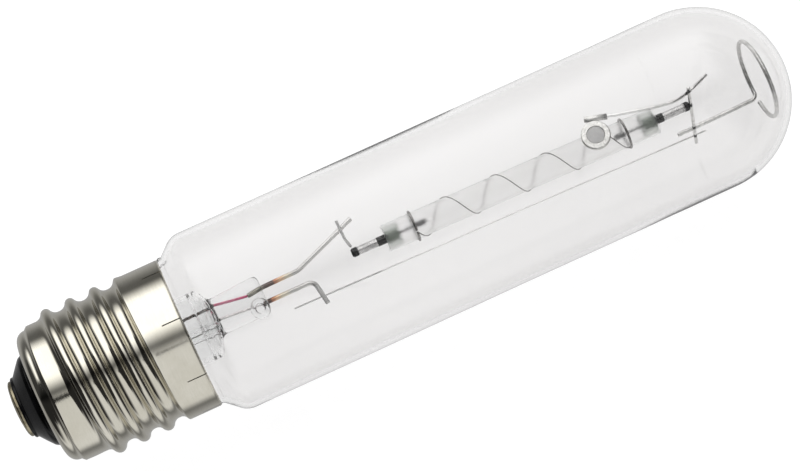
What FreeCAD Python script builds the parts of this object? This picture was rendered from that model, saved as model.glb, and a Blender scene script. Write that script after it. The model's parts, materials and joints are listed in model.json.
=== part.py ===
"""Tubular high-pressure sodium grow lamp with an E40 screw cap, as a parametric assembly of its separate pieces.

The lamp lies along +X: the origin is the centre of the cap's contact face, and the glass dome points to +X.
The mount inside the bulb (lead wires, cross wires, dome spring) is arranged about the XY plane, and +Z is up.
Lengths are millimetres and angles degrees.
"""

import FreeCAD, Part
import math
import os

import Sketcher
from FreeCAD import Placement, Rotation, Vector

OUT = "parts"
X_AXIS = Vector(1, 0, 0)
ALONG_X = Rotation(Vector(1, 1, 1), 120)  # carries local x, y, z to Y, Z, X
UPRIGHT = Placement()

SIZES = {
    # cap shell: rolled brass sheet with the E40 thread
    "thread_pitch": 6.35,
    "root_radius": 17.73,
    "thread_depth": 1.9,
    "crest_round": 1.35,
    "root_round": 2.0,
    "groove_first": 12.63,
    "groove_turns": 3.6,
    "sheet": 0.4,
    "mouth_start": 6.1,
    "mouth_radius": 11.9,
    "nose_start": 6.7,
    "nose_radius": 14.35,
    "nose_bend": 2.6,
    "barrel_start": 9.6,
    "thread_start": 14.1,
    "thread_end": 35.6,
    "skirt_start": 37.2,
    "skirt_radius": 19.3,
    "rim_position": 45.5,
    "slit_length": 4.9,
    "slit_width": 0.3,
    "slit_count": 8,
    "slit_angle": 78,
    # cap insulator and contact
    "glass_nose": 1.5,
    "glass_lip_radius": 7.85,
    "glass_back": 10.0,
    "glass_hole": 1.7,
    "plate_radius": 7.2,
    "plate_flat": 4.2,
    "plate_thickness": 1.5,
    "plate_hole": 1.5,
    "plate_bend": 0.85,
    # outer bulb
    "bulb_radius": 23.1,
    "bulb_wall": 1.1,
    "dome_centre": 181.9,
    "neck_end": 22.0,
    "neck_radius": 16.4,
    "land_start": 39.4,
    "land_radius": 18.9,
    "shoulder_start": 45.4,
    "shoulder_dip": 1.6,
    "shoulder_bend": 5.5,
    "shoulder_slope": 42,
    # stem
    "stem_radius": 8.8,
    "stem_wall": 1.0,
    "stem_tube_end": 49.5,
    "flare_bend": 6.5,
    "press_start": 53.0,
    "press_end": 65.6,
    "press_centre": 0.7,
    "press_width": 10.4,
    "press_thickness": 4.2,
    "press_corner": 1.4,
    "mount_depth": -0.9,
    "exhaust_radius": 1.9,
    "exhaust_bore": 0.9,
    "exhaust_side": -1.85,
    "exhaust_depth": 0.95,
    "exhaust_tip": 14.0,
    "blow_hole": 63.3,
    "blow_radius": 1.35,
    "blow_lip": 2.5,
    # wires
    "outer_lead_radius": 0.35,
    "seal_radius": 0.3,
    "seal_start": 53.2,
    "rod_start": 61.8,
    "return_rod_start": 64.4,
    "rod_radius": 0.6,
    "return_radius": 0.2,
    "tab_radius": 0.35,
    "cross_radius": 0.42,
    "getter_wire_radius": 0.4,
    "spring_radius": 0.55,
    # arc tube, measured along its own axis from its base end
    "arc_start": 98.07,
    "arc_base_side": 0.95,
    "arc_dome_side": 0.02,
    "arc_length": 72.4,
    "arc_radius": 3.4,
    "arc_wall": 0.65,
    "plug_set_in": 0.3,
    "plug_length": 3.6,
    "tube_radius": 1.05,
    "tube_wall": 0.25,
    "tube_outside": 8.9,
    "tube_inside": 3.0,
    "tube_end_wall": 0.6,
    "frit_length": 2.4,
    "frit_radius": 1.15,
    "collar_length": 1.3,
    "collar_radius": 1.17,
    "electrode_radius": 0.35,
    "electrode_reach": 11.2,
    "coil_start": 8.3,
    "coil_wire": 0.22,
    "coil_pitch": 0.47,
    "coil_turns": 5,
    "antenna_wire": 0.12,
    "antenna_loop_wire": 0.3,
    "antenna_inset": 7.7,
    "antenna_pitch": 13.45,
    "antenna_top": 16.8,
    "dome_loop_inset": 8.1,
    # getter
    "getter_place": 154.8,
    "getter_side": 2.5,
    "getter_height": 4.9,
    "getter_outer": 3.65,
    "getter_inner": 2.2,
    "getter_depth": 1.0,
    "getter_lean": 17,
    "getter_sheet": 0.22,
    "getter_pan": 0.15,
    "strip_length": 5.7,
    "strip_width": 1.5,
    "strip_thickness": 0.3,
    "strip_height": 4.2,
    # dome spring
    "ring_place": 198.6,
    "ring_side": -2.8,
    "ring_radius": 10.2,
    "ring_bend": 1.6,
    "ring_sweep": 344,
}

doc = FreeCAD.newDocument("grow_lamp")
sheet = doc.addObject("Spreadsheet::Sheet", "Sizes")
for row, (alias, size) in enumerate(SIZES.items(), start=1):
    sheet.set(f"A{row}", alias)
    sheet.set(f"B{row}", str(size))
    sheet.setAlias(f"B{row}", alias)
doc.recompute()
nodes = []


def size(alias):
    """A driving dimension, read back from the sheet."""
    return float(sheet.get(alias))


def number(expression):
    """The value of an expression in the sheet's names."""
    value = sheet.evalExpression(expression)
    return float(getattr(value, "Value", value))


def keep(item, label):
    """Marks an object as one sub-part: its Label names its STEP file."""
    item.Label = label
    nodes.append(item)
    return item


def bind(item, **expressions):
    for name, expression in expressions.items():
        item.setExpression(name, expression)
    return item


# ---------------------------------------------------------------- turned bodies


def outline(sketch, corners):
    """A closed outline whose corners sit at (x, y) expressions.

    A corner may carry the radius of the arc that runs from it to the next one: positive bulges left of
    the way along the outline, negative right."""
    points = [Vector(number(c[0]), number(c[1]), 0) for c in corners]
    count = len(corners)
    first_ends = []
    for i, corner in enumerate(corners):
        a, b = points[i], points[(i + 1) % count]
        if len(corner) == 2:
            sketch.addGeometry(Part.LineSegment(a, b), False)
            first_ends.append(1)
            continue
        radius = number(corner[2])
        bulge = math.copysign(1, radius)
        half = (b - a) * 0.5
        inward = Vector(half.y, -half.x, 0).normalize() * bulge
        centre = a + half + inward * math.sqrt(max(0.0, radius**2 - half.Length**2))
        start, end = (b, a) if bulge > 0 else (a, b)
        angles = [math.atan2(p.y - centre.y, p.x - centre.x) for p in (start, end)]
        if angles[1] < angles[0]:
            angles[1] += 2 * math.pi
        circle = Part.Circle(centre, Vector(0, 0, 1), abs(radius))
        sketch.addGeometry(Part.ArcOfCircle(circle, *angles), False)
        first_ends.append(2 if bulge > 0 else 1)
    for i, corner in enumerate(corners):
        j = (i + 1) % count
        sketch.addConstraint(Sketcher.Constraint("Coincident", i, 3 - first_ends[i], j, first_ends[j]))
        for kind, expression, value in (
            ("DistanceX", corner[0], points[i].x),
            ("DistanceY", corner[1], points[i].y),
        ):
            at = sketch.addConstraint(Sketcher.Constraint(kind, -1, 1, i, first_ends[i], value))
            sketch.setExpression(f"Constraints[{at}]", expression)
        if len(corner) == 3:
            at = sketch.addConstraint(Sketcher.Constraint("Radius", i, abs(number(corner[2]))))
            sketch.setExpression(f"Constraints[{at}]", f"abs({corner[2]})")


def origin_part(body, role):
    return next(f for f in body.Origin.OriginFeatures if f.Role == role)


def turned(name, corners, place=UPRIGHT, axis="X_Axis", plane="XY_Plane"):
    """A PartDesign body revolved from an outline in (along, radius), about the body's X axis."""
    body = doc.addObject("PartDesign::Body", name)
    sketch = body.newObject("Sketcher::SketchObject", name + "_outline")
    sketch.AttachmentSupport = [(origin_part(body, plane), "")]
    sketch.MapMode = "FlatFace"
    outline(sketch, corners)
    doc.recompute()
    turn = body.newObject("PartDesign::Revolution", name + "_turn")
    turn.Profile = sketch
    turn.ReferenceAxis = (origin_part(body, axis), [""])
    turn.Angle = 360
    body.Placement = place
    doc.recompute()
    return body


# ------------------------------------------------------------------------ wires


def rounded_path(corners, bend):
    """Straight runs joined by tangent arcs, each as large as bend and its two runs allow."""
    corners = [Vector(*c) for c in corners]
    edges = []
    here = corners[0]
    for i in range(1, len(corners) - 1):
        back = (corners[i - 1] - corners[i]).normalize()
        on = (corners[i + 1] - corners[i]).normalize()
        turn = math.pi - back.getAngle(on)
        room = 0.45 * min(
            corners[i].distanceToPoint(corners[i - 1]),
            corners[i].distanceToPoint(corners[i + 1]),
        )
        reach = min(room, bend * math.tan(turn / 2))
        radius = reach / math.tan(turn / 2)
        middle = (back + on).normalize()
        centre_gap = radius / math.cos(turn / 2)
        first, last = corners[i] + back * reach, corners[i] + on * reach
        edges.append(Part.LineSegment(here, first).toShape())
        edges.append(Part.Arc(first, corners[i] + middle * (centre_gap - radius), last).toShape())
        here = last
    edges.append(Part.LineSegment(here, corners[-1]).toShape())
    return Part.Wire(edges)


def swept(name, path, radius):
    """A round wire of the named radius, swept along a path by Part::Sweep."""
    spine = doc.addObject("Part::Feature", name + "_path")
    spine.Shape = path
    first = path.OrderedEdges[0]
    section = doc.addObject("Part::Circle", name + "_section")
    bind(section, Radius=radius)
    start = path.OrderedVertexes[0].Point
    section.Placement = Placement(start, Rotation(Vector(0, 0, 1), first.tangentAt(first.FirstParameter)))
    sweep = doc.addObject("Part::Sweep", name)
    sweep.Sections = [section]
    sweep.Spine = (spine, [f"Edge{i + 1}" for i in range(len(path.Edges))])
    sweep.Solid = True
    sweep.Frenet = False
    doc.recompute()
    return sweep


def rod(name, start, end, radius):
    """A straight round rod between two points."""
    start, end = Vector(*start), Vector(*end)
    item = doc.addObject("Part::Cylinder", name)
    bind(item, Radius=radius)
    item.Height = start.distanceToPoint(end)
    item.Placement = Placement(start, Rotation(Vector(0, 0, 1), end - start))
    return item


def cut(name, base, tool):
    item = doc.addObject("Part::Cut", name)
    item.Base, item.Tool = base, tool
    return item


def fuse(name, shapes):
    item = doc.addObject("Part::MultiFuse", name)
    item.Shapes = shapes
    return item


# -------------------------------------------------------------------------- cap


def thread_tool(name, inset):
    """The helical groove between two crests, as a solid to cut away.

    Its floor runs into a root arc and that into the crest arc. The inset carries both to the inside of
    the sheet, where the groove also ends a little later, so that the sheet closes over its end."""
    root = f"Sizes.root_radius - {inset}"
    helix = doc.addObject("Part::Helix", name + "_helix")
    bind(helix, Pitch="Sizes.thread_pitch", Radius=root)
    bind(helix, Height=f"Sizes.thread_pitch * (Sizes.groove_turns + {inset} / 40)")
    helix.SegmentLength = 0.5
    helix.Placement = Placement(Vector(size("groove_first"), 0, 0), ALONG_X)
    crest = f"(Sizes.crest_round - {inset})"
    crest_height = "(Sizes.root_radius + Sizes.thread_depth + 0.02 - Sizes.crest_round)"
    span = "(Sizes.root_round + Sizes.crest_round)"
    lift = "(Sizes.root_round - Sizes.thread_depth - 0.02 + Sizes.crest_round)"
    run = f"sqrt({span}^2 - {lift}^2)"
    land = f"(Sizes.thread_pitch / 2 - {run})"
    flank = f"(Sizes.thread_pitch / 2 - {crest} * {run} / {span})"
    flank_height = f"{crest_height} + {crest} * {lift} / {span}"
    top = "(Sizes.thread_pitch / 2 - 0.15)"
    top_height = f"{crest_height} + sqrt({crest}^2 - 0.0225)"
    middle = "Sizes.groove_first"
    sketch = doc.addObject("Sketcher::SketchObject", name + "_section")
    outline(
        sketch,
        [
            (f"{middle} - {land}", root),
            (f"{middle} + {land}", root, f"-(Sizes.root_round + {inset})"),
            (f"{middle} + {flank}", flank_height, crest),
            (f"{middle} + {top}", top_height),
            (f"{middle} + {top}", "Sizes.root_radius + Sizes.thread_depth + 1"),
            (f"{middle} - {top}", "Sizes.root_radius + Sizes.thread_depth + 1"),
            (f"{middle} - {top}", top_height, crest),
            (f"{middle} - {flank}", flank_height, f"-(Sizes.root_round + {inset})"),
        ],
    )
    doc.recompute()
    tool = doc.addObject("Part::Sweep", name)
    tool.Sections = [sketch]
    tool.Spine = (helix, [f"Edge{i + 1}" for i in range(len(helix.Shape.Edges))])
    tool.Solid = True
    tool.Frenet = True
    return tool


def cap_shell():
    """Brass sheet shell: rounded nose, threaded barrel, plain skirt and short slits in the rim."""

    def blank(name, inset, start, end):
        """The shell's solid of revolution, inset by the sheet or not."""
        root = f"Sizes.root_radius - {inset}"
        crest = f"{root} + Sizes.thread_depth"
        return turned(
            name,
            [
                (start, "0"),
                (start, "Sizes.mouth_radius"),
                (f"Sizes.nose_start + {inset}", "Sizes.nose_radius", f"Sizes.nose_bend - {inset}"),
                (
                    "Sizes.nose_start + Sizes.nose_bend",
                    f"Sizes.nose_radius + Sizes.nose_bend - {inset}",
                ),
                ("Sizes.barrel_start", f"Sizes.nose_radius + Sizes.nose_bend - {inset}"),
                ("Sizes.barrel_start + 0.5", f"{root} - 0.1"),
                (f"Sizes.thread_start + {inset}", f"{root} - 0.1"),
                (f"Sizes.thread_start + 1.1 + {inset}", crest),
                (f"Sizes.thread_end - {inset}", crest),
                (f"Sizes.skirt_start - {inset}", f"Sizes.skirt_radius - {inset}"),
                (end, f"Sizes.skirt_radius - {inset}"),
                (end, "0"),
            ],
        )

    outer_blank = blank("shell_outer", "0", "Sizes.mouth_start", "Sizes.rim_position")
    inner_blank = blank("shell_inner", "Sizes.sheet", "Sizes.mouth_start - 1", "Sizes.rim_position + 1")
    outer = cut("shell_outer_threaded", outer_blank, thread_tool("outer_groove", "0"))
    inner = cut("shell_inner_threaded", inner_blank, thread_tool("inner_groove", "Sizes.sheet"))
    shell = cut("shell_unslit", outer, inner)
    slits = []
    for i in range(int(size("slit_count"))):
        slit = doc.addObject("Part::Box", f"slit_{i + 1}")
        bind(slit, Length="Sizes.slit_length + 1", Width="Sizes.slit_width", Height="3")
        turn = Rotation(X_AXIS, size("slit_angle") + 360 * i / size("slit_count"))
        corner = Vector(
            size("rim_position") - size("slit_length"),
            -size("slit_width") / 2,
            size("skirt_radius") - 1.5,
        )
        upright = Rotation(X_AXIS, -90)
        slit.Placement = Placement(Vector(), turn).multiply(Placement(Vector(), upright)).multiply(
            Placement(corner, Rotation())
        )
        slits.append(slit)
    return keep(cut("shell", shell, fuse("slits", slits)), "cap_shell")


def cap_insulator():
    """Opaque glass button moulded into the shell's nose, with a hole for the centre lead."""
    nose = "Sizes.glass_nose"
    button = turned(
        "insulator",
        [
            (nose, "Sizes.glass_hole"),
            (nose, "Sizes.glass_lip_radius - 0.3"),
            (f"{nose} + 0.3", "Sizes.glass_lip_radius"),
            (f"{nose} + 0.8", "Sizes.glass_lip_radius", "9.0"),
            ("Sizes.mouth_start - 0.25", "Sizes.mouth_radius - 0.1"),
            ("Sizes.mouth_start + Sizes.sheet + 0.35", "Sizes.mouth_radius"),
            ("Sizes.nose_start + Sizes.sheet", "Sizes.nose_radius", "Sizes.nose_bend - Sizes.sheet"),
            (
                "Sizes.nose_start + Sizes.nose_bend",
                "Sizes.nose_radius + Sizes.nose_bend - Sizes.sheet",
            ),
            ("Sizes.glass_back", "Sizes.nose_radius + Sizes.nose_bend - Sizes.sheet"),
            ("Sizes.glass_back", "Sizes.mouth_radius"),
            ("Sizes.glass_nose + 3.4", "Sizes.glass_hole + 1.3"),
            ("Sizes.glass_nose + 2.6", "Sizes.glass_hole"),
        ],
    )
    return keep(button, "cap_insulator")


def contact():
    """Brass contact plate with its lead soldered into the middle hole, flush with the face."""
    plate = turned(
        "plate",
        [
            ("0", "Sizes.plate_hole"),
            ("0", "Sizes.plate_flat"),
            ("0.35", "Sizes.plate_radius - Sizes.plate_bend", "Sizes.plate_bend"),
            ("0.35 + Sizes.plate_bend", "Sizes.plate_radius"),
            ("Sizes.plate_thickness", "Sizes.plate_radius"),
            ("Sizes.plate_thickness", "Sizes.plate_hole"),
        ],
    )
    keep(plate, "contact_plate")
    solder = turned(
        "solder",
        [
            ("0", "0"),
            ("0", "Sizes.plate_hole"),
            ("Sizes.plate_thickness + 0.4", "Sizes.plate_hole"),
            ("Sizes.plate_thickness + 1", "Sizes.outer_lead_radius"),
            ("0.6", "Sizes.outer_lead_radius"),
            ("0.6", "0"),
        ],
    )
    keep(solder, "contact_solder")


# ------------------------------------------------------------------------- bulb


def outer_bulb():
    """Clear hard-glass envelope: neck inside the shell, shoulder, straight tube and round dome."""
    slope = math.radians(size("shoulder_slope"))
    sine, cosine = math.sin(slope), math.cos(slope)
    wall = "Sizes.bulb_wall"
    dip_side = "(Sizes.land_radius + Sizes.shoulder_dip)"
    bend_side = "(Sizes.bulb_radius - Sizes.shoulder_bend)"
    slope_rise = f"({bend_side} - {dip_side} + (Sizes.shoulder_bend + Sizes.shoulder_dip) * {cosine})"
    tube_start = (
        f"(Sizes.shoulder_start + (Sizes.shoulder_bend + Sizes.shoulder_dip) * {sine}"
        f" + {slope_rise} * {cosine / sine})"
    )

    def dip_end(inset):
        reach = f"(Sizes.shoulder_dip + {inset})"
        return f"Sizes.shoulder_start + {reach} * {sine}", f"{dip_side} - {reach} * {cosine}"

    def bend_start(inset):
        reach = f"(Sizes.shoulder_bend - {inset})"
        return f"{tube_start} - {reach} * {sine}", f"{bend_side} + {reach} * {cosine}"

    glass = turned(
        "bulb",
        [
            ("Sizes.neck_end", "Sizes.neck_radius"),
            ("Sizes.land_start - 2", "Sizes.neck_radius"),
            ("Sizes.land_start", "Sizes.land_radius"),
            ("Sizes.shoulder_start", "Sizes.land_radius", "-Sizes.shoulder_dip"),
            dip_end("0"),
            (*bend_start("0"), "Sizes.shoulder_bend"),
            (tube_start, "Sizes.bulb_radius"),
            ("Sizes.dome_centre", "Sizes.bulb_radius", "Sizes.bulb_radius"),
            ("Sizes.dome_centre + Sizes.bulb_radius", "0"),
            (f"Sizes.dome_centre + Sizes.bulb_radius - {wall}", "0", f"{wall} - Sizes.bulb_radius"),
            ("Sizes.dome_centre", f"Sizes.bulb_radius - {wall}"),
            (tube_start, f"Sizes.bulb_radius - {wall}", f"{wall} - Sizes.shoulder_bend"),
            bend_start(wall),
            (*dip_end(wall), f"Sizes.shoulder_dip + {wall}"),
            ("Sizes.shoulder_start", f"Sizes.land_radius - {wall}"),
            (f"Sizes.land_start + {wall}", f"Sizes.land_radius - {wall}"),
            (f"Sizes.land_start - 2 + {wall}", f"Sizes.neck_radius - {wall}"),
            ("Sizes.neck_end", f"Sizes.neck_radius - {wall}"),
        ],
    )
    groove = doc.addObject("Part::Box", "lead_groove")
    bind(groove, Length="Sizes.shoulder_start - Sizes.land_start + 1.8", Width="1.1", Height="3")
    lean = Rotation(X_AXIS, side_lead_angle() - 90)
    corner = Vector(size("land_start") - 1, -0.55, size("land_radius") - 0.85)
    groove.Placement = Placement(Vector(), lean).multiply(Placement(corner, Rotation()))
    return keep(cut("bulb_grooved", glass, groove), "outer_bulb")


def side_lead_angle():
    """Angle of the side lead about the axis, from +Y towards +Z."""
    return -10.2


def stem():
    """Glass stem: flare, tube and pinched press, bored for the exhaust and the embedded wires."""
    wall = "Sizes.stem_wall"
    flare = turned(
        "flare",
        [
            ("Sizes.neck_end - 1.1", "Sizes.stem_radius + Sizes.flare_bend - 1.1"),
            ("Sizes.neck_end - 1.1", "Sizes.neck_radius"),
            ("Sizes.neck_end", "Sizes.neck_radius"),
            ("Sizes.neck_end", "Sizes.stem_radius + Sizes.flare_bend", "-Sizes.flare_bend"),
            ("Sizes.neck_end + Sizes.flare_bend", "Sizes.stem_radius"),
            ("Sizes.stem_tube_end", "Sizes.stem_radius", "2.4"),
            ("Sizes.stem_tube_end + 1.7", "Sizes.stem_radius - 0.7"),
            ("Sizes.press_start + 1", "2.1"),
            ("Sizes.press_start + 1", "0"),
            ("Sizes.press_start", "0"),
            ("Sizes.press_start", "1.5"),
            ("Sizes.stem_tube_end + 1", f"Sizes.stem_radius - {wall} - 0.6"),
            ("Sizes.stem_tube_end", f"Sizes.stem_radius - {wall}"),
            (
                "Sizes.neck_end - 1.1 + Sizes.flare_bend + Sizes.stem_wall",
                f"Sizes.stem_radius - {wall}",
                "Sizes.flare_bend + Sizes.stem_wall",
            ),
        ],
    )
    press = doc.addObject("Part::Box", "press_block")
    bind(
        press,
        Length="Sizes.press_end - Sizes.press_start",
        Width="Sizes.press_width",
        Height="Sizes.press_thickness",
    )
    press.Placement.Base = Vector(
        size("press_start"),
        size("press_centre") - size("press_width") / 2,
        -size("press_thickness") / 2,
    )
    doc.recompute()
    rounded = doc.addObject("Part::Fillet", "press_rounded")
    rounded.Base = press
    rounded.Edges = [(i + 1, size("press_corner"), size("press_corner")) for i in range(len(press.Shape.Edges))]
    hole = (size("blow_hole"), size("exhaust_side"), 0)
    lip = rod("blow_lip", hole, (hole[0], hole[1], size("press_thickness") / 2 + 0.35), "Sizes.blow_lip")
    solid = fuse("stem_solid", [flare, rounded, lip])
    bore_start = (size("press_start") - 5, size("exhaust_side"), size("exhaust_depth"))
    bore_end = (size("blow_hole"), size("exhaust_side"), size("exhaust_depth"))
    seat_end = (size("press_start") + 1.2, size("exhaust_side"), size("exhaust_depth"))
    depth = size("mount_depth")
    tools = [
        rod("exhaust_bore", bore_start, bore_end, "Sizes.exhaust_bore"),
        rod("exhaust_seat", bore_start, seat_end, "Sizes.exhaust_radius"),
        rod("blow_bore", (hole[0], hole[1], size("exhaust_depth") - 0.5), (hole[0], hole[1], 4), "Sizes.blow_radius"),
        rod("seal_seat_upper", *SEAL_UPPER, "Sizes.seal_radius"),
        rod("seal_seat_lower", *SEAL_LOWER, "Sizes.seal_radius"),
        rod("rod_seat_upper", (size("rod_start"), 2.1, depth), ROD_UPPER_OUT, "Sizes.rod_radius"),
        rod("rod_seat_lower", (size("return_rod_start"), -1.2, depth), ROD_LOWER_OUT, "Sizes.rod_radius"),
        rod("lead_seat_upper", (50, 3.3, depth), SEAL_UPPER[0], "Sizes.outer_lead_radius"),
        rod("lead_seat_lower", (50, -1.4, -2.6), SEAL_LOWER[0], "Sizes.outer_lead_radius"),
    ]
    return keep(cut("stem_bored", solid, fuse("stem_tools", tools)), "stem_glass")


def exhaust_tube():
    """Exhaust tube from the press down into the cap, closed by its sealed tip."""
    place = Placement(Vector(0, size("exhaust_side"), size("exhaust_depth")), Rotation())
    tube = turned(
        "exhaust",
        [
            ("Sizes.exhaust_tip", "0"),
            ("Sizes.exhaust_tip + 2.2", "Sizes.exhaust_radius"),
            ("Sizes.press_start + 1.2", "Sizes.exhaust_radius"),
            ("Sizes.press_start + 1.2", "Sizes.exhaust_bore"),
            ("Sizes.exhaust_tip + 3", "Sizes.exhaust_bore"),
            ("Sizes.exhaust_tip + 2", "0"),
        ],
        place,
    )
    return keep(tube, "exhaust_tube")


# ------------------------------------------------------------ leads and support

MOUNT = size("mount_depth")
SEAL_UPPER = ((size("seal_start"), 3.3, MOUNT), (size("rod_start"), 2.1, MOUNT))
SEAL_LOWER = ((size("seal_start"), -0.2, MOUNT), (size("return_rod_start"), -1.2, MOUNT))
ROD_UPPER_OUT = (65.9, 2.6, MOUNT)
ROD_LOWER_OUT = (66.0, -1.2, MOUNT)


def seated(name, wire, into):
    """A wire cut away where it is welded against another."""
    return cut(name, wire, into)


def lead_wires():
    """Outer leads inside the stem and cap, the seal wires in the glass and the rods that leave it."""
    thin, thick = "Sizes.outer_lead_radius", "Sizes.rod_radius"
    seal_arc = keep(rod("seal_upper", *SEAL_UPPER, "Sizes.seal_radius"), "seal_wire_arc")
    seal_return = keep(rod("seal_lower", *SEAL_LOWER, "Sizes.seal_radius"), "seal_wire_return")
    centre_route = [
        SEAL_UPPER[0],
        (48, 3.3, MOUNT),
        (40, 2.6, MOUNT),
        (17, 2.6, MOUNT),
        (10, 0, 0),
        (0.6, 0, 0),
    ]
    centre = swept("lead_centre", rounded_path(centre_route, 12), thin)
    keep(seated("lead_centre_seated", centre, seal_arc), "lead_wire_centre")
    angle = math.radians(side_lead_angle())

    def around(along, radius):
        return (along, radius * math.cos(angle), radius * math.sin(angle))

    side_route = [
        SEAL_LOWER[0],
        (50, -1.4, -2.6),
        (26, -2.2, -3.0),
        (18, -2.2, -3.0),
        around(18, 16.87),
        around(33, 16.87),
        around(36, 18.45),
        around(46, 18.45),
    ]
    side = swept("lead_side", rounded_path(side_route, 3), thin)
    side_seated = keep(seated("lead_side_seated", side, seal_return), "lead_wire_side")
    bead = doc.addObject("Part::Sphere", "rim_bead")
    bead.Radius = 1
    bead.Placement.Base = Vector(*around(46.1, 19.1))
    shell_side = doc.addObject("Part::Cylinder", "rim_bead_seat")
    bind(shell_side, Radius="Sizes.skirt_radius", Height="Sizes.rim_position - 40")
    shell_side.Placement = Placement(Vector(40, 0, 0), ALONG_X)
    around_bead = fuse("rim_bead_tools", [shell_side, doc.getObject("bulb_grooved"), side_seated])
    keep(cut("rim_bead_cut", bead, around_bead), "rim_solder")
    arc_route = [SEAL_UPPER[1], ROD_UPPER_OUT, (75.6, 2.7, MOUNT), (92.5, 8.95, MOUNT)]
    rod_arc = swept("rod_upper", rounded_path(arc_route, 6), thick)
    keep(seated("rod_upper_seated", rod_arc, seal_arc), "lead_rod_arc")
    return_route = [SEAL_LOWER[1], (78.0, -1.2, MOUNT), (79.0, -7.7, MOUNT)]
    rod_return = swept("rod_lower", rounded_path(return_route, 1.9), thick)
    keep(seated("rod_lower_seated", rod_return, seal_return), "lead_rod_return")


CROSS_TOP = Vector(179.95, 3.9, 6.7)
CROSS_LOW = Vector(180.5, -9.4, -16.1)


def beside_cross(side, gap, direction):
    """The point at height side beside the cross wire, gap away from its centre line."""
    along = (CROSS_LOW - CROSS_TOP).normalize()
    off = X_AXIS.cross(along).normalize() * gap * direction
    share = (side - off.y - CROSS_TOP.y) / (CROSS_LOW.y - CROSS_TOP.y)
    return CROSS_TOP + (CROSS_LOW - CROSS_TOP) * share + off


def supports():
    """Return wire, the two cross wires and the dome spring with its centring ring."""
    top_touch = size("arc_base_side") + 0.1 + size("collar_radius") + size("tab_radius")
    tab_route = [(88.95, 10.0, 0), (89.1, 5.0, 0), (89.75, top_touch, 0)]
    keep(swept("tab_base", rounded_path(tab_route, 2), "Sizes.tab_radius"), "cross_wire_base")
    keep(rod("cross_dome", CROSS_TOP, CROSS_LOW, "Sizes.cross_radius"), "cross_wire_dome")
    far = beside_cross(-7.5, size("cross_radius") + size("return_radius"), 1)
    near = Vector(78.8, -5.6, MOUNT - size("rod_radius") - size("return_radius"))
    step = (far - near) * (1 / (far.x - near.x))
    keep(
        rod("return_run", near + step * (71.0 - near.x), near + step * (183.7 - near.x), "Sizes.return_radius"),
        "return_wire",
    )
    post = beside_cross(-5.65, size("cross_radius") + size("spring_radius"), 1)
    ring = size("ring_radius")
    aside = size("ring_side") - post.y
    inward = Vector(0, aside, math.sqrt(ring**2 - aside**2)).normalize()
    tangent = Vector(0, inward.z, -inward.y)
    corner = Vector(size("ring_place"), post.y, post.z)
    bend = size("ring_bend")
    leave, join = corner - X_AXIS * bend, corner + tangent * bend
    middle = corner + (tangent - X_AXIS) * (bend * (1 - math.sqrt(0.5)))
    centre = join + inward * ring

    def on_ring(share):
        angle = math.radians(size("ring_sweep")) * share
        return centre - inward * (ring * math.cos(angle)) + tangent * (ring * math.sin(angle))

    path = Part.Wire(
        [
            Part.LineSegment(Vector(176.2, post.y, post.z), leave).toShape(),
            Part.Arc(leave, middle, join).toShape(),
            Part.Arc(join, on_ring(0.25), on_ring(0.5)).toShape(),
            Part.Arc(on_ring(0.5), on_ring(0.75), on_ring(1)).toShape(),
        ]
    )
    keep(swept("dome_spring_wire", path, "Sizes.spring_radius"), "dome_spring")


# --------------------------------------------------------------------- arc tube

ARC_LEAN = math.degrees(math.asin((size("arc_dome_side") - size("arc_base_side")) / size("arc_length")))
BASE_END = Placement(Vector(size("arc_start"), size("arc_base_side"), 0), Rotation(Vector(0, 0, 1), ARC_LEAN))
DOME_END = BASE_END.multiply(Placement(Vector(size("arc_length"), 0, 0), Rotation(Vector(0, 0, 1), 180)))


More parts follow.
